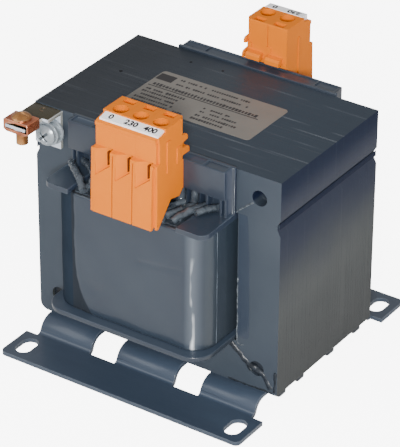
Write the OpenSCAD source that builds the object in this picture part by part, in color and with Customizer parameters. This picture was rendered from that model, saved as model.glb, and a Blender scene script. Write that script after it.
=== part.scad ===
// Laminated chassis transformer: welded E and I sheet core, one moulded bobbin
// that also carries two rows of clamp terminals, two bent sheet feet and an
// earth terminal on the upper left corner of the core.
// Units mm. X runs across the limbs, -Y faces the three-pole row, +Z is up.
// The origin is the middle of the rest plane under the feet.

/* [Core] */
// Width of the sheet stack across its three limbs
core_width = 96; // [93:1:98]
// Height of the E sheets and the I sheets together
core_height = 80; // [78:1:83]
// Depth of the stack of sheets
stack_depth = 58.5; // [56:0.5:61]
// Width of one outer limb and of each yoke, half the centre limb
limb_width = 16; // [15.5:0.25:16.25]
// Rounding of the lower left edge of the stack
core_corner_radius = 3; // [1:0.5:4]
// Diameter of the four corner holes through the stack
core_hole_diameter = 5.5; // [5:0.1:6]
// Depth of the welding notch at the joint of the E and I sheets
notch_depth = 1.1; // [0.6:0.1:1.4]
// Height of the welding notch on each side of the joint
notch_half_height = 1.8; // [1.2:0.1:2.2]
// Share of the notch depth that the weld seam fills
seam_fill = 0.7; // [0.4:0.05:0.85]

/* [Bobbin] */
// Clearance between the bobbin and the sheets
bobbin_gap = 0.15; // [0.05:0.05:0.3]
// Wall of the tube on the centre limb
tube_wall = 1.4; // [1:0.1:2]
// Thickness of the upper and lower flange
flange_thickness = 1.8; // [1.4:0.1:2.4]
// Clearance between a flange edge and the outer limb
flange_side_gap = 0.5; // [0.3:0.1:1.2]
// Reach of the lower flange beyond the stack
flange_reach = 20.25; // [18.5:0.25:21.5]
// Corner radius of the lower flange
flange_corner = 7.5; // [5:0.5:9]
// Reach of the ears of the upper flange beyond the stack
ear_reach = 18.5; // [17.25:0.25:19]
// Corner radius of the ears
ear_corner = 3; // [1:0.5:4]
// Share of the coil's half width at which the left ear begins
ear_left = 0.717; // [0.64:0.001:0.76]
// Share of the coil's half width at which the right ear begins
ear_right = 0.683; // [0.64:0.001:0.73]

/* [Terminal carrier] */
// Wall of the carrier that stands against the stack
carrier_wall = 1.3; // [1:0.1:1.8]
// Length of the carrier bar
bar_length = 61; // [58:1:62]
// Depth of the carrier bar from the stack outwards
bar_depth = 5.7; // [5:0.1:6.2]
// Height of the carrier bar
bar_height = 10.3; // [9:0.1:11.5]
// Height of the bar's top above the core
bar_rise = 0.8; // [0.3:0.1:1.5]
// Width of the rim around the shallow pockets in the bar's top
bar_rim = 0.7; // [0.5:0.1:1]
// Depth of the pockets in the bar's top
bar_pocket = 0.4; // [0.2:0.1:0.8]
// Thickness of the walls between the pockets and at the bar's ends
bar_web = 0.8; // [0.5:0.1:1.2]
// Thickness of the ribs under the bar
rib_thickness = 1; // [0.8:0.1:1.4]
// Reach of the ribs beyond the carrier wall
rib_reach = 3; // [2:0.25:4]

/* [Windings] */
// Clearance between the finished coil and the outer limb
coil_side_gap = 2; // [1.5:0.1:3]
// Reach of the finished coil beyond the stack
coil_reach = 17.05; // [16:0.1:18]
// Share of the copper build that belongs to the inner winding
primary_share = 0.45; // [0.35:0.05:0.55]
// Insulation between the inner and the outer winding
insulation_thickness = 0.6; // [0.3:0.1:1]
// Thickness of the outer wrap
wrap_thickness = 0.8; // [0.7:0.1:1.2]
// Thickness of the last turn of the outer wrap
wrap_turn = 0.3; // [0.2:0.1:0.5]
// Place of the end of the last turn, left of the middle
wrap_end = 20.4; // [17:0.2:21]
// Corner radius of the finished coil
coil_corner = 8.5; // [7:0.5:9]
// Radius of a sleeved lead
lead_radius = 1.3; // [1:0.1:1.5]

/* [Feet] */
// Thickness of the sheet of the feet
sheet_thickness = 1.5; // [1.2:0.1:1.8]
// Drop from the plate under the core to the flange
foot_drop = 5.2; // [4.5:0.1:6]
// Outer radius of the roll under the core's front edge
roll_radius = 6; // [5:0.25:6.5]
// Inner radius of the bend into the flange
bend_radius = 1.5; // [1:0.1:2]
// Reach of the roll's start beyond the stack
roll_start = 0.65; // [0.5:0.05:1.5]
// Distance of the roll's ends from the ends of the foot
roll_inset = 4.5; // [4:0.25:6]
// Width of that plate under the core
plate_overlap = 26; // [14:1:27]
// Reach of the foot beyond the stack
foot_reach = 23.1; // [22.5:0.1:25]
// Width of the flange from its front edge to the ears' rear edge
flange_width = 14.9; // [14:0.1:15.2]
// Corner radius of the foot
foot_corner = 2; // [1:0.5:4]
// Distance of a fixing slot's middle from the end of the foot
slot_inset_x = 5.7; // [5.2:0.1:6.2]
// Distance of a fixing slot's middle from the front edge of the foot
slot_inset_y = 7.45; // [7.25:0.05:7.65]
// Width of a fixing slot
slot_width = 5.7; // [5:0.1:6]
// Length of a fixing slot
slot_length = 9.2; // [8.6:0.1:9.6]
// Width of the cut-outs in the roll
cutout_width = 10.4; // [8:0.2:12]
// Distance of the middle of a cut-out from the middle of the foot
cutout_offset = 16.9; // [15:0.1:20]

/* [Terminal rows] */
// Pitch of the poles
pole_pitch = 7.7; // [7.4:0.1:7.8]
// Start of a row, left of the middle as seen from its own side
row_start = 9.05; // [8:0.25:10]
// Height of a pole above the bar
pole_rise = 15.1; // [14.6:0.1:15.6]
// Depth of the upper part of a pole
pole_depth = 13.8; // [13.6:0.1:14.2]
// Depth of the lower part of a pole
pole_foot_depth = 16.2; // [15.6:0.1:16.6]
// Height of the step between the two parts above the bar
pole_step = 4.3; // [3.8:0.1:4.8]
// Overhang of a pole's upper part over the bar
pole_overhang = 1; // [0.6:0.1:1.4]
// Reach of a pole below the bar's top
pole_drop = 19; // [18:0.25:20]
// Thickness of the end plate of a row
end_plate_thickness = 0.85; // [0.6:0.05:1.1]
// Distance from the pole's front to the end plate's front
end_plate_setback = 1.5; // [1:0.1:1.8]
// Reach of the hooks over the bar
hook_reach = 3.4; // [2.8:0.1:3.8]
// Diameter of the screw well in the top of a pole
well_diameter = 5.2; // [4.9:0.1:5.4]
// Diameter of a clamp screw
clamp_screw_diameter = 3; // [2.6:0.1:3.2]
// Thickness of a marker tag
tag_thickness = 0.7; // [0.5:0.05:0.9]

/* [Earth terminal] */
// Thickness of the bracket's sheet
bracket_thickness = 1.2; // [1:0.1:1.4]
// Width of the bracket
bracket_width = 10.5; // [10:0.1:11]
// Height of the bracket's leg
bracket_height = 14; // [13:0.25:14.5]
// Reach of the bracket's tongue beyond the stack
tongue_reach = 17.5; // [16.75:0.25:18]
// Width of the tongue
tongue_width = 8; // [7.8:0.1:8.4]
// Thread diameter of the earth screw
earth_screw_diameter = 4; // [3.6:0.1:4.4]
// Thread diameter of the clamp screw on the tongue
saddle_screw_diameter = 4; // [3.6:0.1:4]

/* [Rating label] */
// Length of the label
label_length = 49.4; // [44:0.2:52]
// Width of the label
label_width = 24.4; // [20:0.2:26]
// Thickness of the label
label_thickness = 0.15; // [0.1:0.05:0.3]

/* [Hidden] */
$fn = 64;
// Cutting bodies run past the surfaces they cut by this much
eps = 0.1;

// Heights and planes that the parts share
core_bottom = foot_drop + sheet_thickness;
core_top = core_bottom + core_height;
joint_z = core_top - limb_width;
half_width = core_width / 2;
half_stack = stack_depth / 2;
window_x = half_width - limb_width;
hole_x = half_width - limb_width / 2;
hole_low = core_bottom + limb_width / 2;
hole_high = core_top - limb_width / 2;
seat_y = half_stack + bobbin_gap;
wall_y = seat_y + carrier_wall;
bar_y = seat_y + bar_depth;
bar_top = core_top + bar_rise;
bar_bottom = bar_top - bar_height;

// Bobbin
tube_x = limb_width + bobbin_gap + tube_wall;
tube_y = seat_y + tube_wall;
flange_x = window_x - flange_side_gap;
flange_low = core_bottom + limb_width + bobbin_gap;
flange_high = joint_z - bobbin_gap - flange_thickness;

// Places of the carrier's ribs as shares of the coil's half width, and its pockets
rib_places = [0.993, 0.933, 0.76, 0.663, 0.503];
bar_split = 0.714 * bar_length / 2;
bar_pockets = [[bar_web - bar_length / 2, -bar_split - bar_web / 2],
  [bar_web / 2 - bar_split, bar_split - bar_web / 2],
  [bar_split + bar_web / 2, bar_length / 2 - bar_web]];

// Windings, from the tube outwards
// Each lead's place across the coil, and its length along the coil's top, as shares
lead_places = [[0.413, 0.89], [0.583, 0.74], [-0.587, 0.856]];
coil_x = window_x - coil_side_gap;
coil_y = half_stack + coil_reach;
coil_low = flange_low + flange_thickness;
coil_high = flange_high;
build_x = coil_x - wrap_thickness - insulation_thickness - tube_x;
build_y = coil_y - wrap_thickness - insulation_thickness - tube_y;
primary_x = tube_x + primary_share * build_x;
primary_y = tube_y + primary_share * build_y;
primary_corner = 1 + (coil_corner - 1) * primary_share;
barrier_x = primary_x + insulation_thickness;
barrier_y = primary_y + insulation_thickness;
secondary_x = coil_x - wrap_thickness;
secondary_y = coil_y - wrap_thickness;
lead_z = coil_high + lead_radius;
lead_back = wall_y + lead_radius + 0.3;
lead_bend = 2.6;
lead_top = bar_bottom;

// Feet
// The roll and the bend into the flange are two arcs that touch each other
roll_y = half_stack + roll_start;
roll_z = core_bottom - roll_radius;
bend_z = sheet_thickness + bend_radius;
bend_angle = asin((bend_z - roll_z) / (roll_radius + bend_radius));
bend_y = roll_y + (roll_radius + bend_radius) * cos(bend_angle);
foot_y = half_stack + foot_reach;
roll_x = half_width - roll_inset;
weld_places = [-0.85, -0.47, 0.17, 0.74];
left_weld_places = [-0.47, 0.17, 0.74];
weld_length = 3.4;
slot_x = half_width - slot_inset_x;
slot_y = foot_y - slot_inset_y;

// Terminal rows
tag_seat_out = 13.1;
tag_seat_in = 9.7;
tag_drop = 0.7;
tag_seat_z = bar_top + pole_rise - 0.5 - tag_thickness;
tag_left = 1;
tag_right = 0.25;
back_tag_inner = tag_thickness + 0.7;
back_tag_outer = tag_thickness + 1.2;
cavity_left = 1.3;
cavity_near = 3.2;
cavity_far = 11;
cavity_low = bar_bottom + 2;
cavity_high = bar_top + 3.6;
well_x = 4.7;
well_out = 6.6;
cage_width = 5.4;
cage_wall = 0.9;
cage_low = cavity_low + 1;
cage_high = cavity_high - 2.6;
post_thickness = 0.8;
head_z = cavity_high + 0.2;

// Earth terminal
bracket_y = half_stack + bracket_thickness;
bracket_left = hole_x + bracket_width - 3.1;
bracket_top = core_top - 0.3;
tongue_left = hole_x + 7.1;
washer_outer = 4.6;
washer_thickness = 0.9;
spring_thickness = 1.3;
earth_head_radius = 3.7;
earth_head_height = 2.8;
head_y = bracket_y + 2 * washer_thickness + spring_thickness;
nut_height = 3.2;
saddle_wall = 0.9;
saddle_half = tongue_width / 2 + saddle_wall;
collar_height = 0.5;
saddle_screw_reach = 6.4;
saddle_head_radius = 0.825 * saddle_screw_diameter;
saddle_length = 6.8;
saddle_y = half_stack + tongue_reach - saddle_length / 2 - 0.4;
saddle_x = tongue_left - tongue_width / 2;
saddle_high = bracket_top + 1.6;
saddle_low = bracket_top - bracket_thickness - 1;

// Rectangle of two half lengths with round corners
module round_rect(half_x, half_y, radius) {
  square([2 * half_x, 2 * (half_y - radius)], center = true);
  square([2 * (half_x - radius), 2 * half_y], center = true);
  for (sx = [-1, 1])
    for (sy = [-1, 1])
      translate([sx * (half_x - radius), sy * (half_y - radius)])
        circle(r = radius);
}

// Prism along X whose section lies in the YZ plane
module along_x(start, length) {
  translate([start, 0, 0])
    rotate([90, 0, 90])
      linear_extrude(height = length)
        children();
}

// Prism along Y, centred, whose section lies in the XZ plane
module along_y(length) {
  rotate([90, 0, 0])
    linear_extrude(height = length, center = true)
      children();
}

// The front copy and the copy turned to the back
module both_sides() {
  for (a = [0, 180])
    rotate([0, 0, a])
      children();
}

// ---- Core ----

module notch_section() {
  for (side = [-1, 1])
    polygon([[side * (half_width + eps), joint_z - notch_half_height * (1 + eps / notch_depth)],
      [side * (half_width - notch_depth), joint_z],
      [side * (half_width + eps), joint_z + notch_half_height * (1 + eps / notch_depth)]]);
}

module e_outline() {
  difference() {
    union() {
      translate([-half_width, core_bottom + core_corner_radius])
        square([core_width, joint_z - core_bottom - core_corner_radius]);
      translate([-half_width + core_corner_radius, core_bottom])
        square([core_width - core_corner_radius, limb_width]);
      translate([-half_width + core_corner_radius, core_bottom + core_corner_radius])
        circle(r = core_corner_radius);
    }
    for (side = [-1, 1])
      translate([side < 0 ? -window_x : limb_width, core_bottom + limb_width])
        square([window_x - limb_width, joint_z - core_bottom - limb_width + eps]);
    for (side = [-1, 1])
      translate([side * hole_x, hole_low])
        circle(d = core_hole_diameter);
    notch_section();
  }
}

module e_sheets() {
  color("DimGray")
    along_y(stack_depth)
      e_outline();
}

module i_sheets() {
  color("DimGray")
    along_y(stack_depth)
      difference() {
        translate([-half_width, joint_z])
          square([core_width, limb_width]);
        for (side = [-1, 1])
          translate([side * hole_x, hole_high])
            circle(d = core_hole_diameter);
        notch_section();
      }
}

// One seam in each joint notch, open towards the outside
module core_weld_seams() {
  seam_out = half_width - notch_depth * (1 - seam_fill);
  color("SlateGray")
    for (side = [-1, 1])
      along_y(stack_depth)
        polygon([[side * (half_width - notch_depth), joint_z],
          [side * seam_out, joint_z - seam_fill * notch_half_height],
          [side * seam_out, joint_z + seam_fill * notch_half_height]]);
}

// ---- Bobbin with its two terminal carriers ----

module ears() {
  intersection() {
    translate([0, 0, flange_high])
      linear_extrude(height = flange_thickness)
        round_rect(flange_x, half_stack + ear_reach, ear_corner);
    union() {
      translate([-flange_x, -half_stack - ear_reach, flange_high])
        cube([flange_x - ear_left * coil_x, ear_reach + eps, flange_thickness]);
      translate([ear_right * coil_x, -half_stack - ear_reach, flange_high])
        cube([flange_x - ear_right * coil_x, ear_reach + eps, flange_thickness]);
    }
  }
}

module carrier() {
  pocket_y = bar_depth - 2 * bar_rim;
  translate([-flange_x, -wall_y, flange_high])
    cube([2 * flange_x, carrier_wall, bar_top - flange_high]);
  difference() {
    translate([-bar_length / 2, -bar_y, bar_bottom])
      cube([bar_length, bar_depth - eps, bar_height]);
    for (pocket = bar_pockets)
      translate([pocket[0], -bar_y + bar_rim, bar_top - bar_pocket])
        cube([pocket[1] - pocket[0], pocket_y, bar_pocket + eps]);
  }
  for (side = [-1, 1], place = rib_places)
    translate([side * place * coil_x - rib_thickness / 2, -wall_y - rib_reach,
      flange_high + flange_thickness / 2])
      cube([rib_thickness, rib_reach + eps, bar_bottom - flange_high]);
}

module bobbin() {
  bore_x = limb_width + bobbin_gap;
  color("SlateGray") {
    difference() {
      union() {
        translate([0, 0, flange_low])
          linear_extrude(height = flange_thickness)
            round_rect(flange_x, half_stack + flange_reach, flange_corner);
        translate([-tube_x, -tube_y, flange_low])
          cube([2 * tube_x, 2 * tube_y, flange_high + flange_thickness - flange_low]);
        translate([-flange_x, -wall_y, flange_high])
          cube([2 * flange_x, 2 * wall_y, flange_thickness]);
        both_sides()
          ears();
      }
      translate([-bore_x, -seat_y, flange_low - eps])
        cube([2 * bore_x, 2 * seat_y, core_height]);
    }
    both_sides()
      carrier();
  }
}

// ---- Windings ----

module ring_layer(in_x, in_y, in_corner, out_x, out_y, out_corner) {
  translate([0, 0, coil_low])
    linear_extrude(height = coil_high - coil_low)
      difference() {
        round_rect(out_x, out_y, out_corner);
        round_rect(in_x, in_y, in_corner);
      }
}

module primary_winding() {
  color("Chocolate")
    translate([0, 0, coil_low])
      linear_extrude(height = coil_high - coil_low)
        difference() {
          round_rect(primary_x, primary_y, primary_corner);
          square([2 * tube_x, 2 * tube_y], center = true);
        }
}

module winding_insulation() {
  color("Beige")
    ring_layer(primary_x, primary_y, primary_corner,
      barrier_x, barrier_y, primary_corner + insulation_thickness);
}

module secondary_winding() {
  color("Chocolate")
    ring_layer(barrier_x, barrier_y, primary_corner + insulation_thickness,
      secondary_x, secondary_y, coil_corner - wrap_thickness);
}

// The last turn ends on the front face; its lower end runs off obliquely
module outer_wrap() {
  color("SlateGray")
    difference() {
      ring_layer(secondary_x, secondary_y, coil_corner - wrap_thickness,
        coil_x, coil_y, coil_corner);
      difference() {
        along_y(4 * coil_y)
          polygon([[-coil_x - 1, coil_low - 1], [4.9 - wrap_end, coil_low - 1],
            [4.9 - wrap_end, coil_low + 3], [-wrap_end, coil_low + 18],
            [-wrap_end, coil_high + 1], [-coil_x - 1, coil_high + 1]]);
        translate([0, 0, coil_low - 2])
          linear_extrude(height = coil_high - coil_low + 4)
            round_rect(coil_x - wrap_turn, coil_y - wrap_turn, coil_corner - wrap_turn);
        translate([-2 * coil_x, -20, coil_low - 2])
          cube([4 * coil_x, 3 * coil_y, coil_high - coil_low + 4]);
      }
    }
}

// One lead along the coil's top and up behind the ribs of the carrier
module long_lead(x, front) {
  translate([x, -lead_back - lead_bend, lead_z])
    rotate([90, 0, 0])
      cylinder(r = lead_radius, h = front - lead_back - lead_bend);
  translate([x, -lead_back - lead_bend, lead_z + lead_bend])
    rotate([0, 90, 0])
      rotate_extrude(angle = 90)
        translate([lead_bend, 0])
          circle(r = lead_radius);
  translate([x, -lead_back, lead_z + lead_bend])
    cylinder(r = lead_radius, h = lead_top - lead_z - lead_bend);
}

module lead_wires() {
  color("DarkSlateGray") {
    for (a = [0, 180])
      rotate([0, 0, a])
        for (lead = lead_places)
          long_lead(lead[0] * coil_x, half_stack + lead[1] * coil_reach);
    for (row = [[0, 3], [180, 2]])
      rotate([0, 0, row[0]])
        for (i = [0 : row[1] - 1])
          translate([pole_left(i) + well_x, -bar_y - well_out, coil_high])
            cylinder(r = lead_radius, h = post_low() - coil_high);
  }
}

// ---- Feet ----

// Part of a ring between two angles less than a quarter turn apart
module arc(radius, from, to) {
  intersection() {
    difference() {
      circle(r = radius);
      circle(r = radius - sheet_thickness);
    }
    polygon([[0, 0], 2 * radius * [cos(from), sin(from)], 2 * radius * [cos(to), sin(to)]]);
  }
}

module foot_section() {
  translate([-roll_y, core_bottom - sheet_thickness])
    square([plate_overlap + roll_start, sheet_thickness]);
  translate([-roll_y, roll_z])
    arc(roll_radius, 90, 180 - bend_angle);
  translate([-bend_y, bend_z])
    arc(bend_radius + sheet_thickness, 270, 360 - bend_angle);
}

module foot() {
  difference() {
    union() {
      along_x(-roll_x, 2 * roll_x)
        foot_section();
      difference() {
        linear_extrude(height = sheet_thickness)
          difference() {
            round_rect(half_width, foot_y, foot_corner);
            translate([-2 * half_width, -bend_y])
              square([4 * half_width, 2 * foot_y]);
            for (side = [-1, 1])
              translate([side > 0 ? roll_x : -2 * half_width, flange_width - foot_y])
                square([2 * half_width - roll_x, half_stack]);
          }
        for (side = [-1, 1])
          for (shift = [-1, 1])
            translate([side * slot_x, shift * (slot_length - slot_width) / 2 - slot_y, -eps])
              cylinder(d = slot_width, h = sheet_thickness + 2 * eps);
        for (side = [-1, 1])
          translate([side * slot_x, -slot_y, sheet_thickness / 2])
            cube([slot_width, slot_length - slot_width, sheet_thickness + 2 * eps], center = true);
      }
    }
    for (side = [-1, 1])
      translate([side * cutout_offset - cutout_width / 2, -bend_y, -eps])
        cube([cutout_width, bend_y - half_stack + 3, core_bottom + 2 * eps]);
  }
}

module front_foot() {
  color("SlateGray")
    foot();
}

module back_foot() {
  color("SlateGray")
    rotate([0, 0, 180])
      foot();
}

// Short welds between the core's lower edges and the plates of the feet
module foot_welds() {
  color("DarkSlateGray")
    for (side = [-1, 1])
      for (place = side < 0 ? left_weld_places : weld_places)
        translate([0, place * half_stack, 0])
          along_y(weld_length)
            polygon([[side * roll_x, core_bottom], [side * roll_x, core_bottom - 1.4],
              [side * (roll_x + 1.4), core_bottom - 2.2], [side * (half_width - 1.1), core_bottom - 2.4],
              [side * (half_width - 0.2), core_bottom - 1.6], [side * (half_width - 0.1), core_bottom]]);
}

// ---- Terminal rows, drawn as the front row ----

function pole_left(i) = i * pole_pitch - row_start;
function post_low() = bar_bottom - 3.6;

module pole_section(front, foot_depth, overhang) {
  polygon([[-bar_y, bar_bottom + 0.2], [-bar_y - 0.5, bar_bottom],
    [-bar_y - 2.2, bar_bottom - 1.9], [-bar_y - 6.9, bar_bottom - 0.9],
    [-bar_y - foot_depth + 0.9, bar_top - pole_drop],
    [-bar_y - foot_depth, bar_top - pole_drop],
    [-bar_y - foot_depth + 0.3, bar_top - pole_drop + 10.5],
    [-bar_y - front - 1.6, bar_top + pole_step - 0.4],
    [-bar_y - front, bar_top + pole_step],
    [-bar_y - front, tag_seat_z - tag_drop - 2],
    [-bar_y - front - 0.4, tag_seat_z - tag_drop - 1.7],
    [-bar_y - front - 0.4, tag_seat_z - tag_drop - 0.5],
    [-bar_y - tag_seat_out, tag_seat_z - tag_drop],
    [-bar_y - tag_seat_in, tag_seat_z],
    [-bar_y - tag_seat_in, bar_top + pole_rise],
    [-bar_y + overhang - 0.3, bar_top + pole_rise],
    [-bar_y + overhang, bar_top + pole_rise - 0.3],
    [-bar_y + overhang, bar_top + 0.4], [-bar_y, bar_top]]);
}

module hook_section() {
  polygon([[-bar_y - 2, bar_top + 1.6], [-bar_y + hook_reach, bar_top + 1.6],
    [-bar_y + hook_reach, bar_top + 3], [-bar_y + hook_reach - 0.6, bar_top + 3.8],
    [-bar_y - 2, bar_top + 4.6]]);
}

module bump_section() {
  polygon([[-bar_y - 2, bar_top + 5.8], [-bar_y + 2.4, bar_top + 6.6],
    [-bar_y + 2.4, bar_top + 7.8], [-bar_y + 1.8, bar_top + 8.5],
    [-bar_y - 2, bar_top + 8.8]]);
}

// A pole is open to its right; the next pole or the end plate closes it
module pole(i) {
  left = pole_left(i);
  face = bar_y + pole_depth;
  difference() {
    union() {
      along_x(left, pole_pitch)
        pole_section(pole_depth, pole_foot_depth, pole_overhang);
      along_x(left + 1.6, 5.6)
        hook_section();
      translate([left + 6.1, -bar_y + pole_overhang - eps, bar_top + 4.8])
        cube([1.6, 0.5, 2]);
    }
    translate([left + cavity_left, -bar_y - cavity_far, cavity_low])
      cube([pole_pitch, cavity_far - cavity_near, cavity_high - cavity_low]);
    translate([left + well_x, -bar_y - well_out, cavity_low])
      cylinder(d = well_diameter, h = bar_top + pole_rise);
    translate([left + 2.1, -bar_y - 2.4, bar_top + pole_rise - 1.6])
      cube([4.2, 2.6, 3]);
    wire_funnel(left, face);
    translate([left + well_x - 1.5, -bar_y - well_out - 0.45, bar_bottom - 4])
      cube([3, 0.9, 8]);
    translate([left + pole_pitch - 0.4, -face - 3, bar_top - pole_drop - 1])
      cube([0.6, 2.2, pole_drop + pole_step - 0.4]);
    translate([left + pole_pitch - 0.3, -bar_y + pole_overhang - 0.3, bar_top + 6.8])
      cube([0.6, 1, pole_rise]);
  }
}

// Funnel for the wire: it deepens to the right, above a slanted edge, to a test slit
module wire_funnel(left, face) {
  intersection() {
    translate([0, 0, bar_top - 8])
      linear_extrude(height = pole_step + 8.1)
        polygon([[left + 0.9, -face - 4], [left + 0.9, -face - 1.7], [left + 6.5, -face + 1],
          [left + 6.5, -face - 4]]);
    translate([left, -face + 1.2, bar_top])
      rotate([90, 0, 0])
        linear_extrude(height = 5)
          polygon([[0.9, -5.6], [6.5, -1], [6.5, pole_step + 1], [0.9, pole_step + 1]]);
  }
  translate([left + 5.6, -face - 3, bar_top - 0.8])
    cube([0.8, 6, pole_step + 0.4]);
}

// Plate on the right end of a row, with two ribs on its outer face
module end_plate(poles) {
  left = pole_left(poles);
  along_x(left, end_plate_thickness) {
    pole_section(pole_depth - end_plate_setback + 0.6, pole_foot_depth - end_plate_setback,
      pole_overhang - end_plate_setback);
    hook_section();
    bump_section();
  }
  for (rib = [[8.3, bar_top - 0.8, 11.2], [2.8, bar_top + 0.2, 5.6]])
    translate([left + end_plate_thickness - eps, -bar_y - rib[0] - 0.9, rib[1]])
      cube([eps + 0.35, 1.8, rib[2]]);
}

// Tongue that stands out of the left face of the first pole
module first_pole_tongue() {
  along_x(-row_start - 0.85, 0.9)
    polygon([[-bar_y - 1, bar_bottom], [-bar_y - 2.2, bar_bottom - 1.5],
      [-bar_y - 6.9, bar_bottom - 0.5], [-bar_y - pole_foot_depth + 1, bar_top - pole_drop + 0.1],
      [-bar_y - pole_foot_depth + 0.1, bar_top - pole_drop + 0.1],
      [-bar_y - pole_depth - 1.4, bar_top + pole_step - 0.6],
      [-bar_y - 1, bar_top + pole_step - 0.6]]);
}

module front_pole_1() {
  color("Orange") {
    pole(0);
    first_pole_tongue();
  }
}

module front_pole_2() {
  color("Orange")
    pole(1);
}

module front_pole_3() {
  color("Orange")
    pole(2);
}

module front_end_plate() {
  color("Orange")
    end_plate(3);
}

module back_pole_1() {
  color("Orange")
    rotate([0, 0, 180])
      pole(0);
}

module back_pole_2() {
  color("Orange")
    rotate([0, 0, 180])
      pole(1);
}

module back_end_plate() {
  color("Orange")
    rotate([0, 0, 180])
      end_plate(2);
}

// Places what each pole holds, in all five poles
module in_each_pole() {
  for (row = [[0, 3], [180, 2]])
    rotate([0, 0, row[0]])
      for (i = [0 : row[1] - 1])
        translate([pole_left(i) + well_x, -bar_y - well_out, 0])
          children();
}

// Square clamp cages with a wire hole from front to back
module terminal_cages() {
  color("Silver")
    in_each_pole()
      difference() {
        translate([-cage_width / 2, -cage_width / 2, cage_low])
          cube([cage_width, cage_width, cage_high - cage_low]);
        translate([-cage_width / 2 + cage_wall, -cage_width, cage_low + 1.4])
          cube([cage_width - 2 * cage_wall, 2 * cage_width, 4.4]);
        translate([0, 0, cage_high - 4])
          cylinder(d = clamp_screw_diameter, h = cage_high);
      }
}

module terminal_screws() {
  color("Silver")
    in_each_pole()
      difference() {
        union() {
          translate([0, 0, head_z])
            cylinder(d = well_diameter - 0.5, h = 1.9);
          translate([0, 0, cage_high - 2])
            cylinder(d = clamp_screw_diameter, h = head_z + 0.4 - cage_high + 2);
        }
        translate([-3, -0.35, head_z + 0.9])
          cube([6, 0.7, 3]);
      }
}

// Contact strips under the cages; the leads are soldered to their lower ends
module terminal_posts() {
  color("Silver")
    in_each_pole() {
      translate([-1.4, -post_thickness / 2, post_low()])
        cube([2.8, post_thickness, cage_low - 0.7 - post_low()]);
      translate([-2.4, -2.6, cage_low - 0.8])
        cube([4.8, 5.2, 0.8]);
    }
}

// Marker tags on the sloping seat along the front of each row
module tag(start, end, inner, outer) {
  along_x(start, end - start)
    polygon([[-bar_y - tag_seat_out, tag_seat_z - tag_drop],
      [-bar_y - tag_seat_in, tag_seat_z], [-bar_y - tag_seat_in, tag_seat_z + inner],
      [-bar_y - tag_seat_out, tag_seat_z - tag_drop + outer]]);
}

module front_tag_1() {
  color("White")
    tag(pole_left(0) + tag_left, pole_left(1), tag_thickness, tag_thickness);
}

module front_tag_2() {
  color("White")
    tag(pole_left(1), pole_left(2), tag_thickness, tag_thickness);
}

module front_tag_3() {
  color("White")
    tag(pole_left(2), pole_left(3) + tag_right, tag_thickness, tag_thickness);
}

module back_tag_1() {
  color("White")
    rotate([0, 0, 180])
      tag(pole_left(0) + tag_left, pole_left(1), back_tag_inner, back_tag_outer);
}

module back_tag_2() {
  color("White")
    rotate([0, 0, 180])
      tag(pole_left(1), pole_left(2) + tag_right, back_tag_inner, back_tag_outer);
}

module rating_label() {
  color("LightGray")
    translate([-0.4, 0, core_top])
      linear_extrude(height = label_thickness)
        round_rect(label_length / 2, label_width / 2, 1.5);
}

// ---- Earth terminal ----

module earth_bracket() {
  color("LightSteelBlue")
    difference() {
      union() {
        translate([-bracket_left, -bracket_y, bracket_top - bracket_height])
          cube([bracket_width, bracket_thickness, bracket_height]);
        translate([-bracket_left - 0.6, -half_stack - 8, bracket_top - bracket_thickness])
          cube([bracket_width + 0.7, 8, bracket_thickness]);
        translate([-tongue_left, -half_stack - tongue_reach, bracket_top - bracket_thickness])
          cube([tongue_width, tongue_reach, bracket_thickness]);
        translate([-saddle_x, -saddle_y, bracket_top - bracket_thickness - collar_height])
          cylinder(d = saddle_screw_diameter + 2.4, h = collar_height);
      }
      translate([-hole_x, -half_stack, hole_high])
        rotate([90, 0, 0])
          cylinder(d = earth_screw_diameter + 0.5, h = 4 * bracket_thickness, center = true);
      translate([-saddle_x, -saddle_y, bracket_top])
        cylinder(d = saddle_screw_diameter, h = 10 * bracket_thickness, center = true);
    }
}

// Pan head with a cross recess, shank through the core to the nut behind it
module earth_screw() {
  color("LightSteelBlue")
    translate([-hole_x, 0, hole_high])
      difference() {
        union() {
          translate([0, -head_y, 0])
            rotate([90, 0, 0])
              intersection() {
                cylinder(r = earth_head_radius, h = earth_head_height);
                translate([0, 0, earth_head_height - 5.2])
                  sphere(r = 5.2);
              }
          translate([0, -head_y - 0.4, 0])
            rotate([-90, 0, 0])
              cylinder(d = earth_screw_diameter,
                h = head_y + 0.4 + half_stack + washer_thickness + nut_height + 1);
        }
        translate([0, -head_y - earth_head_height, 0])
          for (turn = [45, 135])
            rotate([0, turn, 0])
              cube([4.4, 2.6, 0.9], center = true);
      }
}

module washer(outer, thickness) {
  rotate([90, 0, 0])
    difference() {
      cylinder(r = outer, h = thickness);
      translate([0, 0, -eps])
        cylinder(d = earth_screw_diameter + 0.4, h = thickness + 2 * eps);
    }
}

// Split spring washer under the screw's head
module earth_spring_washer() {
  color("Silver")
    translate([-hole_x, -bracket_y - washer_thickness, hole_high])
      difference() {
        washer(washer_outer - 0.8, spring_thickness);
        rotate([0, 30, 0])
          translate([3, 0, 0])
            cube([4, 4, 0.6], center = true);
      }
}

module earth_flat_washers() {
  color("Silver") {
    translate([-hole_x, -bracket_y, hole_high])
      washer(washer_outer, washer_thickness);
    translate([-hole_x, -head_y + washer_thickness, hole_high])
      washer(washer_outer - 0.4, washer_thickness);
    translate([-hole_x, half_stack + washer_thickness, hole_high])
      washer(washer_outer, washer_thickness);
  }
}

// Hexagon nut on the screw's end behind the core
module earth_nut() {
  color("Silver")
    translate([-hole_x, half_stack + washer_thickness, hole_high])
      rotate([-90, 0, 0])
        difference() {
          linear_extrude(height = nut_height)
            polygon([for (a = [0 : 60 : 300]) [4.04 * cos(a), 4.04 * sin(a)]]);
          translate([0, 0, -eps])
            cylinder(d = earth_screw_diameter, h = nut_height + 2 * eps);
        }
}

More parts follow.
